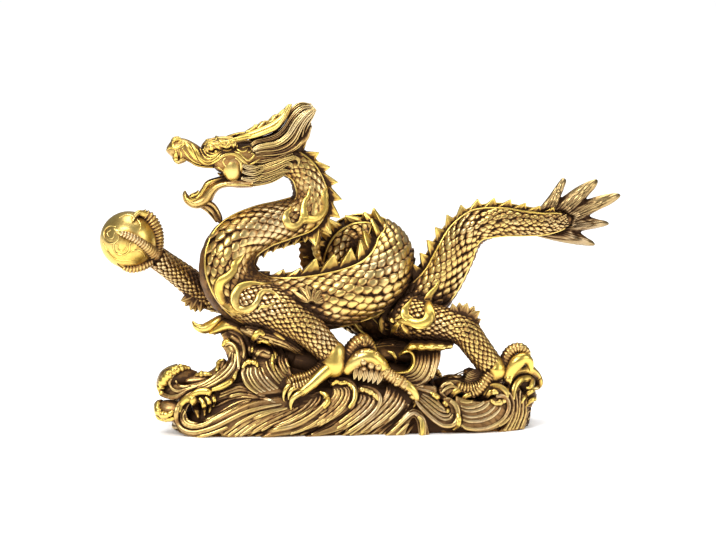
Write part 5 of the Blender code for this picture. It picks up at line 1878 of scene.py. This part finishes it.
    def mound(self) -> Carving:
        """The fluted mound that the waves lie on."""
        carving = Carving("wave_mound")
        count, around = 120, 90
        size = spline(MOUND, count)
        angle = np.linspace(0.0, 2 * math.pi, around, endpoint=False)
        cosine = np.sign(np.cos(angle)) * np.abs(np.cos(angle)) ** 0.8
        sine = np.sign(np.sin(angle)) * np.abs(np.sin(angle)) ** 0.8
        drift = np.cumsum(np.full(count, 0.045)) + 0.9 * np.sin(np.linspace(0.0, 9.0, count))
        flute = np.abs(np.sin(13 * angle[None, :] + drift[:, None]))
        reach = 0.955 + 0.03 * flute
        rings = np.zeros((count, around, 3))
        rings[..., 0] = size[:, :1]
        rings[..., 1] = size[:, 2:3] * sine[None, :] * reach
        rings[..., 2] = size[:, 1:2] * cosine[None, :] * reach
        carving.skin(rings, np.array([size[0, 0] - 2, 0.0, 0.0]), np.array([size[-1, 0] + 2, 0.0, 0.0]))
        return carving

    def build(self, materials: dict[str, bpy.types.Material]) -> list[bpy.types.Object]:
        """Makes the base's pieces."""
        ground, front, bed = self.mound(), Carving("waves_front"), self.mound()
        # The ground, in the darkened core finish, is painted shade between the waves, and the hollows in it are painted
        # shade behind the ridges; the bed, on which the ridges are laid, takes the hollows too.
        for carving in (ground, bed):
            for rows in SHADE_HOLLOWS:
                carving.limb(SIGHT.rows(rows), 30, 24, (0.0, 1.0, 0.0))
        rear = Carving("waves_back")
        for carving in (front, bed):
            self.sheets(carving)
        for carving in (rear, bed):
            for name in BACK_WAVES:
                self.wave(carving, WAVES[name], Side.BACK)
        drape = Drape(bed.tree())
        return [
            ground.piece(materials["core"]),
            front.piece(materials["wave"]),
            self.ridges(drape).piece(materials["wave"]),
            self.foam(drape).piece(materials["gold"]),
            rear.piece(materials["wave"]),
        ]


HEAD_Y = 1.0

# The head's solid parts: x, y, z, half height, half width.
SKULL = [
    (-49, 1, 216, 11, 11), (-65, 1, 216, 13, 13), (-78, 1, 216, 14, 14), (-91, 1, 216, 13.5, 14),
    (-103, 1, 219.5, 9.7, 12), (-112.5, 1, 217.6, 6.6, 9.5), (-121.5, 1, 222, 7.6, 8.5), (-130, 1, 225, 8.4, 8.6),
    (-137.5, 1, 224, 6, 7), (-140.5, 1, 223.5, 2.6, 3),
]
NOSE_TIP = [(-134, 1, 226.5, 5, 5), (-134.5, 1, 232, 3.4, 4)]
UPPER_LIP = [(-128, 1, 217.5, 4, 6), (-133.5, 1, 214.5, 3, 5)]
BROW = [(-111, -7, 224, 2.5), (-107, -9, 227.5, 3.3), (-97.5, -10, 229.5, 3.4), (-87, -10, 230, 3)]

# The lower jaw and the tongue in it: across, down, depth, half depth, half height.
LOWER_JAW = [
    (252, 180, 1, 13, 6), (240, 181, 1, 12.5, 5.6), (227, 182, 1, 11.5, 4.2), (217, 185, 1, 10.5, 4.2),
    (210.5, 191, 1, 9.8, 5), (205, 199, 1, 9, 5.8), (196, 203, 1, 8, 4.7), (188.5, 200.5, 1, 6.5, 3.4),
    (185.5, 195, 1, 4, 2.2), (185.5, 191, 1, 1.5, 0.8),
]
TONGUE_ROWS = [(232, 178, 1, 7, 2), (222, 180, 1, 6.5, 2.4), (212, 183.5, 1, 5.5, 2.4), (206, 189.5, 1, 4.5, 2), (201, 195, 1, 2.5, 1)]

# The round parts of the face: across, down, depth, half width, half depth and half height.
CHEEK = (233.5, 168.8, -8.4, 8.4, 5.6, 10.6)
EYES = [(212, 148.5, -10.5, 2.4, 2.4, 2.4), (216.5, 151.8, -10.5, 1.4, 1.6, 1.4)]

# The smooth horn and the curls along it: across, down, depth, radius.
HORN = [
    (241, 138, -6, 2.2), (250, 135.5, -7.5, 3.3), (258, 133, -8, 3.8), (266, 130, -8, 4.2), (274, 126.2, -8, 4.5),
    (281, 120.5, -8, 3.9), (286.5, 113.5, -8, 2.9), (291.5, 105, -8, 0.9),
]
HORN_TINES = [
    [(249, 132.5, -7.5, 1.7), (253, 129.8, -7.5, 1.5), (256.5, 127, -7.5, 1.1), (257, 124.5, -7.5, 0.5)],
    [(258, 130, -7.5, 2), (261.5, 126, -7.5, 1.7), (264.5, 122.8, -7.5, 1.3), (268.5, 121.5, -7.5, 0.5)],
    [(264, 128.5, -7.5, 2.2), (268.5, 125.5, -7.5, 1.9), (271.5, 121.8, -7.5, 1.4), (272.5, 118.5, -7.5, 0.5)],
    [(272, 123, -7.5, 2), (274.5, 118.8, -7.5, 1.6), (277, 116, -7.5, 1.2), (280.5, 115, -7.5, 0.5)],
    [(277, 121, -7.5, 2), (280, 117, -7.5, 1.7), (283, 113, -7.5, 1.2), (286, 109.5, -7.5, 0.5)],
]
HORN_RIDGE = [
    (244, 139.5, -9, 0.8), (252, 137.2, -11, 1.6), (260, 134.6, -12, 1.9), (268, 131.6, -12.3, 1.9),
    (276, 127.8, -12.4, 1.8), (281.5, 121.8, -11.8, 1.6), (286, 114.5, -10.8, 1.2), (289.5, 107.5, -9.4, 0.5),
]

# Lines raised on the head's side: across, down, half width.
HEAD_LINES = [
    [(192, 144.5, 0.6), (195, 149, 1.2), (198, 155, 1.4), (201, 160.5, 1.5), (206, 163.8, 1.5), (212, 163.6, 1.5),
     (218, 160.5, 1.5), (223, 156.8, 1.5), (229, 154.6, 1.5), (235, 155, 1.5), (240, 158, 1.5), (244.5, 162.5, 1.4),
     (249, 165.5, 1.4), (254, 163.5, 1.2), (260, 159.5, 0.6)],
    [(181, 160.5, 0.6), (186, 160, 0.8), (191, 161.8, 1.0), (197, 165, 1.1), (204, 166.5, 1.1), (211, 167, 1.1),
     (217, 167.5, 1.1), (222, 169.5, 1.2), (225, 173, 1.1), (222.5, 175.8, 1.0), (219, 174.5, 0.7)],
    [(183.5, 149, 0.6), (186, 153, 1), (189.5, 157.5, 1.1), (195, 161.8, 1.1), (202, 164.8, 0.6)],
    [(185, 143, 0.8), (188.5, 147, 2.2), (191.5, 151.5, 2.4), (194.5, 156.5, 1.9), (198, 160.5, 0.8)],
    [(197, 149.5, 0.6), (199.5, 154.5, 0.9), (202.5, 159.3, 1.0), (207.5, 161.8, 1.0), (213, 161, 1.0),
     (218, 157.5, 0.9), (222, 153.8, 0.5)],
    [(200.5, 149.5, 0.6), (203.5, 155, 0.8), (207, 158.8, 0.9), (211.5, 159, 0.9), (216, 156.6, 0.8), (220, 153, 0.5)],
    [(204, 149.5, 0.6), (206.5, 153.8, 0.8), (210, 156.6, 0.8), (214, 156.3, 0.8), (218, 154, 0.7), (222, 151.5, 0.5)],
    [(207, 148.5, 0.5), (208.5, 152, 0.8), (212.5, 154, 0.8), (217, 153.6, 0.7), (220, 151, 0.5)],
    [(208, 146.5, 0.6), (210.5, 144.3, 1.0), (214.5, 144.6, 1.1), (218, 147.2, 1.2), (222.5, 150, 1.2), (228, 151, 1.2),
     (232.5, 149, 1.1), (234, 145.5, 0.9), (232.5, 142.5, 0.6)],
    [(205.5, 149, 0.6), (206, 144.5, 1.2), (209, 141.8, 1.5), (214, 141.2, 1.6), (219, 141.4, 1.4), (223, 143, 1.1),
     (226, 144.5, 0.7)],
    [(213, 140.6, 0.6), (218, 139.8, 1.0), (224, 139.4, 1.1), (230, 138.4, 1.1), (236, 137.8, 0.7)],
    [(220, 143.5, 0.6), (223.5, 146.5, 1.1), (228, 147.5, 1.1), (231, 145, 1.0), (229, 142.5, 0.7)],
    [(227, 146, 0.7), (231, 142.2, 1.4), (236, 140, 1.8), (243, 138.5, 2), (251, 137, 1.4)],
    [(252, 143, 0.7), (247, 142.3, 1.2), (241, 142.8, 1.3), (237.3, 145.5, 1.3), (237.5, 149.3, 1.2), (241, 151.8, 1.1),
     (246, 151.3, 0.9), (248, 149, 0.6)],
    [(243, 148.3, 0.6), (247, 147, 0.9), (251, 147.5, 0.9), (252, 151, 0.8), (249, 153, 0.6)],
    [(235, 152.3, 0.6), (240, 154, 1.0), (244, 157.5, 1.0), (248, 160.5, 1.1), (252, 159, 1.1), (254.5, 155.5, 0.9),
     (252, 153.5, 0.6)],
    [(175, 148, 0.6), (173.5, 144.5, 1.2), (175, 140.5, 1.4), (179, 139, 1.4), (181.5, 141.5, 1.2), (179.5, 144, 0.7)],
    [(168.5, 149.5, 0.8), (172, 148, 1.3), (176.5, 148.5, 1.4), (181, 147, 1.4), (185, 144, 0.9)],
    [(177, 151.5, 1), (176.5, 156, 2.3), (176.5, 160, 2.3), (177.5, 162.5, 1.1)],
    [(180, 150.5, 0.7), (182, 154, 1.1), (182, 158, 1.1), (184, 159.5, 0.6)],
    [(236, 158.5, 0.6), (240.5, 162, 1.5), (242, 168, 1.9), (241, 174, 1.9), (237, 179.5, 1.7), (232, 181, 0.8)],
    [(226, 158.5, 0.6), (223.5, 162, 0.9), (226, 166.5, 0.8), (228.5, 172, 0.8), (227.5, 177, 0.6)],
    [(228, 177.5, 0.8), (219, 179.2, 1.2), (212, 180.6, 1.3), (207, 183.5, 1.4), (204, 188.5, 1.4), (201.5, 194, 1.4),
     (197.5, 198.3, 1.3), (192, 200.3, 1.2), (187.5, 199.5, 0.9), (185.5, 196, 0.6)],
    [(224, 184.5, 0.6), (231, 185, 1.1), (240, 184.8, 1.1), (250, 185.5, 0.8)],
    [(190, 197.5, 0.5), (193, 195.5, 0.9), (197, 194, 0.9), (199.5, 191.5, 0.5)],
]

# The locks of the mane, each split into strands: depth, strands, then across, down and the lock's half width in steps.
LOCKS = [
    (-8, 4, [(252, 146, 2), (257, 143, 3), (264, 141.5, 3), (272, 139.5, 3), (279, 136, 3.2), (286, 129.5, 3.6),
             (291, 122, 3.8), (296, 115.5, 4), (301, 110.8, 3.6), (306, 108.4, 2.4), (312, 108, 0.7)]),
    (-12, 4, [(253, 151, 1.5), (259, 148, 2.5), (267, 146.2, 3), (276, 144.5, 3), (283, 141, 3.2), (289, 135.5, 3.4),
              (293, 129.5, 3.6), (297, 123.5, 3.6), (302, 117.5, 3.2), (308, 112.5, 2.2), (315, 109, 0.7)]),
    (-10.5, 3, [(256, 153.5, 1.5), (264, 151.5, 2.5), (274, 151, 2.8), (283, 149, 2.8), (290, 145, 3), (295, 139, 3.2),
                (298, 132.5, 3.4), (301, 126, 3.4), (305, 120, 3), (311, 114.5, 2), (316, 110, 0.7)]),
    (-7, 3, [(285, 151, 2), (292, 147, 3.2), (298, 142, 4.2), (302, 136, 3.8), (304, 129, 3.4), (307.5, 122.5, 3),
             (312, 116.5, 2.2), (316, 110.5, 0.7)]),
    (-10, 3, [(257, 157, 1.5), (266, 156, 2.6), (276, 155.5, 2.8), (285, 153.5, 2.8), (292, 150, 2.6), (298, 146, 2.2),
              (303, 141, 1)]),
    (-11, 3, [(256, 163, 1), (262, 163, 2.2), (270, 161.5, 2.6), (278, 159.5, 2.6), (286, 156.5, 2.2), (293, 154, 0.8)]),
    (-13, 4, [(258, 168, 1.2), (264, 168, 2.6), (272, 165.5, 3), (280, 162.5, 3), (288, 159.5, 2.4), (295, 158, 1.8),
              (299, 161.5, 1.2), (298, 166, 0.6)]),
    (-12, 4, [(256, 173.5, 1.2), (263, 173, 2.6), (271, 171, 3), (279, 168, 2.8), (286, 164.5, 2.2), (291, 165, 1.6),
              (293, 169, 0.8)]),
    (-11, 4, [(252, 178, 1.5), (260, 178.5, 2.8), (269, 176, 3), (277, 173, 2.6), (284, 171, 2), (290, 171.5, 1.0)]),
    (-8, 4, [(243, 184, 1.2), (252, 184.3, 2.6), (262, 182.8, 3), (271, 180.2, 3), (279, 176.8, 2.4), (286, 174, 1.2)]),
    (-14, 3, [(243, 166, 1), (249, 168, 2.6), (256, 168.5, 2.2), (262, 166, 0.8)]),
    (-14, 3, [(243, 172, 1.2), (250, 173.5, 2.8), (257, 173.3, 2.4), (264, 170, 0.8)]),
    (-14, 3, [(242, 178.5, 1.2), (250, 179.8, 2.6), (257, 179, 2.2), (263, 176, 0.7)]),
]
MANE_CORE = [
    (248, 164, 1, 8.5, 15.5), (262, 162, 1, 8.5, 17.5), (274, 158.5, 1, 8, 16.5), (285, 151, 1, 7, 15),
    (294, 140, 1, 6, 11), (301, 128, 1, 4.6, 7), (307, 117, 1, 3, 3.6), (311, 111.5, 1, 1.2, 1.2),
]

# The beard: across, down, depth, radius.
BEARDS = [
    [(204, 204, -2, 2.4), (210, 208, -3, 2.6), (215, 213, -4, 2.2), (219, 220, -6, 2.0), (223, 224, -8, 1.0)],
    [(205, 202, -4, 2.2), (212, 204, -5, 2.0), (217, 209, -6, 1.7), (221, 217, -7, 1.4), (222, 223, -8, 0.8)],
    [(202, 206, 1, 2.2), (209, 211, 0, 2.0), (214, 217, -3, 1.6), (217, 222, -6, 1.0)],
]


@dataclass
class Head:
    """The head: a fused solid, the lines raised on it, the horns, the mane, the beard and the mouth."""

    voxel: float = 0.6
    strand_around: int = 8
    far_horn_drop: float = 2.5
    line_gap: float = 4.0
    sideways: tuple[float, float, float] = (0.0, 1.0, 0.0)

    def solid(self) -> Carving:
        """The fused skull and jaws."""
        carving = Carving("head")
        for rows in (SKULL, NOSE_TIP, UPPER_LIP):
            carving.limb(rows, 40, 32)
        carving.limb(SIGHT.rows(LOWER_JAW), 50, 32, self.sideways)
        carving.limb(BROW, 24, 20)
        carving.limb(mirrored(BROW, HEAD_Y), 24, 20)
        carving.shell(self.voxel, 3)
        return carving

    def round_part(self, carving: Carving, part: Sequence[float]) -> None:
        """An oval on both sides of the head, from its place and half sizes."""
        centre = SIGHT.rows([part])[:, :3]
        for place in (centre[0], mirrored(centre, HEAD_Y)[0]):
            carving.ball(place, part[3:], 3)

    def both(self, carving: Carving, rows: np.ndarray, rise: float) -> None:
        """A raised band on both sides of the head."""
        towards = SIGHT.towards
        band(carving, rows, rise)
        band(carving, mirrored(rows, HEAD_Y), rise, towards * np.array([1.0, -1.0, 1.0]))

    def lines(self, drape: Drape) -> Carving:
        """The folds, brows, lips, eyes and curls raised on the head.

        Args:
            drape: Lays them on the head's solid.

        Returns:
            Their carving.
        """
        carving = Carving("head_lines")
        for rows in HEAD_LINES:
            laid = drape.lay(rows, -0.1)
            laid[:, 1] = np.minimum(laid[:, 1], HEAD_Y - self.line_gap)
            self.both(carving, laid, 0.9)
        for part in (CHEEK, *EYES):
            self.round_part(carving, part)
        return carving

    def horns(self) -> Carving:
        """The two smooth horns with their ridges and curls."""
        carving = Carving("horns")
        for table in (HORN, HORN_RIDGE, *HORN_TINES):
            rows = SIGHT.rows(table)
            carving.limb(rows, 10 * len(rows), 18)
            carving.limb(mirrored(rows, HEAD_Y) - np.array([0.0, 0.0, self.far_horn_drop, 0.0]), 10 * len(rows), 18)
        return carving

    def mane(self) -> Carving:
        """The strands of the mane on both sides, over its core."""
        carving = Carving("mane")
        carving.limb(SIGHT.rows(MANE_CORE), 40, 28, self.sideways)
        for depth, count, table in LOCKS:
            steps = 6 * len(table)
            lock = spline(table, steps)
            way = unit(np.gradient(lock[:, :2], axis=0))
            normal = way[:, ::-1] * np.array([1.0, -1.0])
            along = np.linspace(0.0, 1.0, steps)
            for number in range(count):
                share = (2 * number + 1) / count - 1.0
                sway = 0.35 * np.sin(along * 9.0 + number * 2.3 + depth) * np.sin(along * math.pi)
                path = lock[:, :2] + normal * (lock[:, 2] * (share + sway / count))[:, None]
                sink = depth - 1.6 * math.cos(share * 1.2) - 0.5 * (number % 2)
                radius = np.clip(lock[:, 2] * SIGHT_STEP / count * 1.12, 0.3, 3.0)
                rows = SIGHT.rows(np.column_stack([path, np.full(steps, sink), radius]))
                carving.limb(rows, steps, self.strand_around, self.sideways)
                carving.limb(mirrored(rows, HEAD_Y), steps, self.strand_around, self.sideways)
        return carving

    def crest(self) -> Carving:
        """The strands down the middle, between the two sides of the mane."""
        carving = Carving("mane_middle")
        for number, y in enumerate(np.linspace(-8.0, 10.0, 7)):
            drop = abs(y - HEAD_Y) * 0.25
            rows = [
                (-107, y * 0.6, 223 - drop, 1.0), (-100, y * 0.65, 226 - drop, 2.2), (-88, y * 0.7, 227 - drop, 2.6),
                (-74, y * 0.8, 227 - drop, 3.2), (-62, y, 230 - drop, 3.6), (-50, y, 234 - drop, 3.6),
                (-40, y, 242 - drop, 3.2), (-33 + number % 2, y, 250 - drop, 2.2), (-27, y, 254 - 2 * drop, 0.7),
            ]
            carving.limb(rows, 46, 10)
            under = [
                (-60, y, 222, 4), (-48, y, 224, 4.5), (-38, y, 229, 4.2), (-31, y, 236 - drop, 3.2),
                (-27 + number % 2, y, 244 - drop, 1.2),
            ]
            carving.limb(under, 30, 10)
        return carving

    def mouth(self) -> Carving:
        """The tongue."""
        carving = Carving("mouth")
        carving.limb(SIGHT.rows(TONGUE_ROWS), 24, 16, self.sideways)
        return carving

    def build(self, materials: dict[str, bpy.types.Material]) -> list[bpy.types.Object]:
        """Makes the head's pieces."""
        solid = self.solid()
        drape = Drape(solid.tree())
        lines = self.lines(drape)
        beard = Carving("beard")
        for rows in BEARDS:
            beard.limb(SIGHT.rows(rows), 24, 10)
        return [
            solid.piece(materials["hide"]),
            lines.piece(materials["gold"]),
            self.horns().piece(materials["gold"]),
            self.mane().piece(materials["hair"]),
            self.crest().piece(materials["hair"]),
            self.mouth().piece(materials["hide"]),
            beard.piece(materials["hair"]),
        ]


# The flame scrolls on the body: across, down, half width.
SCROLLS = [
    [(292, 204.5, 0.7), (290.5, 210, 2.4), (287, 214, 3.3), (286, 219, 3.9), (289, 225, 4.1), (295, 226, 3.9),
     (300.5, 222.5, 3.4), (303, 217, 3.2)],
    [(310, 189, 0.7), (308.5, 196, 1.9), (305.5, 201, 2.8), (304, 207, 3.3), (304, 213, 4.0), (305, 218, 4.0)],
    [(301, 222, 3.0), (306, 219, 4.2), (313, 219, 3.9), (319, 216, 4.1), (323, 210, 4.4), (324, 203, 4.0),
     (323.5, 196, 3.4), (325, 190, 2.6), (328, 185, 1.6), (330, 178, 0.7)],
    [(245, 253.5, 0.8), (240, 259, 3.0), (235.5, 264, 3.9), (234, 270, 3.7), (229, 276, 4.2), (222, 281.5, 5.0),
     (220, 290, 5.0), (223, 298, 5.0), (229, 305, 4.4), (237, 310, 3.6), (245, 311.5, 2.4)],
    [(213, 282, 0.8), (218, 280, 2.6), (225, 278.5, 3.4)],
    [(288, 281, 0.8), (276, 283.5, 1.6), (263, 284.8, 2.4), (251, 284.5, 3.5), (241.5, 287.5, 4.3), (236.5, 294, 4.6),
     (236, 301, 4.5), (239.5, 307.5, 3.8), (247, 309.5, 3.5), (254, 306.5, 3.2), (258, 301, 2.9), (260, 295.5, 2.7),
     (264.5, 291.5, 2.6), (271, 291.8, 2.1), (277, 295, 1.5), (281, 300, 0.7)],
    [(259, 310, 0.8), (262, 306.5, 1.3), (268, 306, 1.2), (275, 303, 0.7)],
    [(439.5, 280, 0.7), (435.5, 287.5, 2.1), (430, 294, 3.1), (427.3, 301, 3.8), (428.5, 308, 4.4), (429.5, 315.5, 5.1),
     (426, 321.5, 5.1), (418.5, 323.7, 4.8), (410, 321.5, 4.0), (402, 321, 2.8), (397, 323, 1.2)],
    [(408, 292, 0.8), (412, 297, 1.3), (410, 301.5, 1.4), (407, 306, 2.6), (404.5, 311, 4.2), (406, 316.5, 4.0),
     (412, 320, 3.0)],
    [(395, 319, 0.7), (400, 316, 2.0), (405, 313, 1.6)],
    [(394, 303, 0.8), (389, 308.5, 1.9), (384.3, 315, 2.9), (381.8, 322.5, 3.5), (383, 330, 2.8), (387, 334, 1.0)],
    [(393, 309, 0.7), (391, 313.5, 1.6), (391, 318.5, 2.2), (394, 322, 1.4)],
    [(391, 334, 0.8), (395, 328, 2.9), (399, 322.5, 2.2)],
    [(411, 335, 0.8), (406, 329.5, 2.9), (402, 324, 2.0)],
]

# The tail fin as a fan: across and down at its edge, across and down at its root, and the depth at the edge.
TAIL_FAN = [
    (538, 210, 536, 212, 2), (549, 196, 540, 212, 3), (559, 182, 544, 212, 3), (563, 178, 547, 212, 3),
    (566.5, 180.5, 550, 212, 3), (564, 189, 552, 212, 4), (562, 197, 554, 212, 6), (577, 187, 556, 212, 4),
    (592, 180, 559, 212.5, 3), (598, 180, 562, 213, 3), (596, 187, 564, 214, 3), (587, 198.5, 566, 215, 5),
    (600, 195.5, 567.5, 216, 3), (615, 193, 569, 217, 2), (621, 195.5, 570, 218, 2), (613, 203, 570.5, 219.5, 3),
    (599, 210, 570.5, 221, 4), (590.5, 215.5, 570, 222.5, 5.5), (598, 219, 569.5, 224, 5), (607, 221, 568.5, 225.5, 5),
    (609, 224.5, 567, 226, 5), (598, 228, 565, 227, 6), (582, 231.5, 561, 228, 8), (587, 237, 556, 229, 6),
    (594, 241.5, 551, 229.5, 5), (594.5, 245.5, 546, 229.5, 5), (580, 245, 540, 229.5, 6), (556, 241, 534, 229.5, 6),
    (534, 235.5, 530, 230, 5),
]

# The web that closes the gap beside the coil's arch, and the strip along it: across, down, depth, half depth, half
# width.
WEB = [
    (322, 214, 16, 2, 2), (316, 224, 16, 2.4, 5), (311.5, 236, 16, 2.4, 7.5), (309, 248, 16, 2.4, 7.8),
    (308.5, 260, 16, 2.4, 7), (311, 271, 16, 2.4, 6), (316, 279, 16, 2, 4),
]
WEB_STRIP = [
    (328, 218, 8, 2, 1.4), (321.5, 227, 8, 2.4, 2.6), (317, 238, 8, 2.4, 3.2), (316, 249, 8, 2.4, 3.2),
    (319, 259, 8, 2.4, 2.6), (324, 267, 8, 2, 1.6),
]

# The swirls on the pearl: across, down, half width.
PEARL_LINES = [
    [(121, 230, 0.5), (119, 240, 0.9), (112, 243.5, 0.9), (106, 239, 0.9), (105.5, 231, 0.9), (111, 226, 0.9), (117, 227, 0.6)],
    [(116, 233, 0.4), (114, 238, 0.7), (110, 237.5, 0.7), (108.5, 233, 0.7), (112, 230, 0.4)],
    [(118, 240, 0.5), (114.5, 246, 0.9), (117, 253, 0.9), (124, 255, 0.9), (130, 251, 0.9), (131, 244, 0.9), (137, 241, 0.5)],
    [(119, 244, 0.4), (119, 249, 0.7), (124, 251, 0.7), (128, 247, 0.7), (127, 243, 0.4)],
    [(130, 253, 0.4), (137, 250, 0.9), (143, 252, 0.9), (146, 257, 0.5)],
    [(120, 218, 0.4), (128, 215, 0.8), (136, 218, 0.9), (141, 224, 0.8), (141, 231, 0.4)],
    [(104, 243, 0.4), (108, 250, 0.8), (115, 258, 0.8), (124, 261, 0.8), (134, 260, 0.4)],
]


@dataclass
class Trim:
    """The flame scrolls, the tail fin and the pearl."""

    pearl_centre: tuple[float, float, float] = (-171.5, 5.0, 151.5)
    pearl_radius: float = 23.0
    fin_thickness: float = 2.6
    fin_depth: float = 3.0
    fin_bow: float = 1.3
    web_ribs: tuple[float, float] = (5.2, 0.10)

    def scrolls(self) -> Carving:
        """The smooth flame scrolls laid on the body and the legs."""
        under = Body().core()
        for hide in Legs().skins.values():
            under.tube(hide.route[:, :3], hide.back * hide.route[:, 3:4], hide.side * hide.route[:, 3:4], 28)
        drape = Drape(under.tree())
        under.bm.free()
        carving = Carving("flame_scrolls")
        for rows in SCROLLS:
            band(carving, drape.lay(rows, 1.7), 0.62)
        return carving

    def fin(self) -> Carving:
        """The ribbed fan at the tip of the tail, in lobes that part towards its edge."""
        carving = Carving("tail_fin")
        steps = 7 * (len(TAIL_FAN) - 1) + 1
        fan = spline(TAIL_FAN, steps)
        turn = np.linspace(0.0, len(TAIL_FAN) - 1.0, steps)
        rib = np.abs(np.sin(math.pi * turn)) ** 0.7 * np.sin(np.linspace(0.02, 0.98, steps) * math.pi) ** 0.3
        front, back = np.linspace(0.0, 1.0, 9), np.linspace(1.0, 0.0, 5)
        root = SIGHT.place(fan[:, 2], fan[:, 3], np.full(steps, self.fin_depth))
        edge = SIGHT.place(fan[:, 0], fan[:, 1], fan[:, 4])
        faces = []
        for shares, way in ((front, -1.0), (back, 1.0)):
            places = root[:, None] * (1 - shares[None, :, None]) + edge[:, None] * shares[None, :, None]
            thick = self.fin_thickness * (1.0 - 0.75 * shares[None, :])
            places[..., 1] += way * thick * (0.55 + 0.45 * rib[:, None])
            places[..., 1] -= self.fin_bow * np.sin(math.pi * shares)[None, :]
            faces.append(places)
        rings = np.concatenate(faces, axis=1)
        carving.skin(rings, rings[0].mean(axis=0), rings[-1].mean(axis=0))
        return carving

    def web(self) -> list[Carving]:
        """The web beside the coil's arch and the strip along it."""
        made = []
        for name, rows in (("coil_web", WEB), ("coil_web_strip", WEB_STRIP)):
            carving = Carving(name)
            carving.limb(SIGHT.rows(rows), None, 20, (0.0, 1.0, 0.0), self.web_ribs)
            made.append(carving)
        return made

    def pearl(self) -> list[Carving]:
        """The pearl and the swirls raised on it."""
        ball = Carving("pearl")
        ball.ball(self.pearl_centre, self.pearl_radius, 5)
        swirls = Carving("pearl_swirls")
        drape = Drape(ball.tree())
        for rows in PEARL_LINES:
            for side in Side:
                band(swirls, drape.lay(rows, 0.0, side=side), 0.9, side.out)
        return [ball, swirls]

    def build(self, materials: dict[str, bpy.types.Material]) -> list[bpy.types.Object]:
        """Makes the trim's pieces."""
        pieces = [self.scrolls().piece(materials["gold"]), self.fin().piece(materials["fin"])]
        pieces += [carving.piece(materials["gold"]) for carving in self.pearl()]
        # The web is in the darkened core finish, painted shade in the gap beside the coil's arch; the strip along it is
        # scaled.
        pieces += [carving.piece(materials[name]) for carving, name in zip(self.web(), ("core", "hide"))]
        return pieces


PARTS = (Body, Legs, Head, Trim, Base)


@dataclass
class Studio:
    """The floor, the lights and the camera."""

    distance: float = 8.0
    sensor: float = 36.0

    def floor(self) -> None:
        """The plain pale floor."""
        bm = bmesh.new()
        bmesh.ops.create_grid(bm, x_segments=1, y_segments=1, size=9.0)
        mesh = bpy.data.meshes.new("floor")
        bm.to_mesh(mesh)
        bm.free()
        material = bpy.data.materials.new("pale_floor")
        material.use_nodes = True
        shader = material.node_tree.nodes["Principled BSDF"]
        shader.inputs["Base Color"].default_value = (0.97, 0.97, 0.97, 1.0)
        shader.inputs["Roughness"].default_value = 0.95
        shader.inputs["Specular IOR Level"].default_value = 0.1
        mesh.materials.append(material)
        obj = bpy.data.objects.new("floor", mesh)
        bpy.context.scene.collection.objects.link(obj)
        obj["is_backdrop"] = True

    def light(self, name: str, place: Sequence[float], size: float, power: float) -> None:
        """A square soft light that looks at the casting's middle."""
        data = bpy.data.lights.new(name, "AREA")
        data.size = size
        data.energy = power
        obj = bpy.data.objects.new(name, data)
        bpy.context.scene.collection.objects.link(obj)
        obj.location = place
        obj.rotation_euler = (Vector((0.0, 0.0, 0.12)) - Vector(place)).to_track_quat("-Z", "Y").to_euler()

    def world(self) -> None:
        """An even white surround, dimmer in what the brass reflects."""
        world = bpy.data.worlds.new("studio")
        bpy.context.scene.world = world
        world.use_nodes = True
        nodes, links = world.node_tree.nodes, world.node_tree.links
        background = nodes["Background"]
        path = nodes.new("ShaderNodeLightPath")
        mix = nodes.new("ShaderNodeMix")
        mix.data_type = "RGBA"
        mix.inputs["A"].default_value = (1.0, 1.0, 1.0, 1.0)
        mix.inputs["B"].default_value = (0.25, 0.25, 0.25, 1.0)
        links.new(path.outputs["Is Glossy Ray"], mix.inputs["Factor"])
        links.new(mix.outputs["Result"], background.inputs["Color"])

    def camera(self) -> None:
        """A long lens at the view's angle."""
        data = bpy.data.cameras.new("camera")
        target = SIGHT.place(np.array([358.0]), np.array([270.0]), np.array([0.0]))[0] * MM
        back = SIGHT.towards
        width = 716 * SIGHT_STEP * MM
        data.sensor_width = self.sensor
        data.lens = self.sensor * self.distance / width
        obj = bpy.data.objects.new("camera", data)
        bpy.context.scene.collection.objects.link(obj)
        obj.location = target + back * self.distance
        obj.rotation_mode = "QUATERNION"
        obj.rotation_quaternion = Vector(-back).to_track_quat("-Z", "Y")
        bpy.context.scene.camera = obj

    def build(self) -> None:
        """Sets the studio up."""
        bpy.context.scene.view_settings.view_transform = "Standard"
        self.floor()
        self.light("key", (-0.9, -1.3, 1.5), 0.8, 27.0)
        self.light("fill", (1.5, -1.2, 0.9), 1.0, 11.0)
        self.light("top", (0.1, 0.3, 1.7), 1.1, 15.0)
        self.world()
        self.camera()


def main() -> None:
    """Builds the studio and the casting."""
    group = aged_and_shaded_brass_group()
    materials = {name: finish.material(group) for name, finish in FINISHES.items()}
    Studio().build()
    pieces: list[bpy.types.Object] = []
    for part in PARTS:
        pieces += part().build(materials)
    PatinaAndShade().dress(pieces)
    LOG.info("%d pieces", len(pieces))
    boxes = [[list(corner) for corner in box] for box in (CAD_BOX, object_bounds())]


if __name__ == "__main__":
    main()
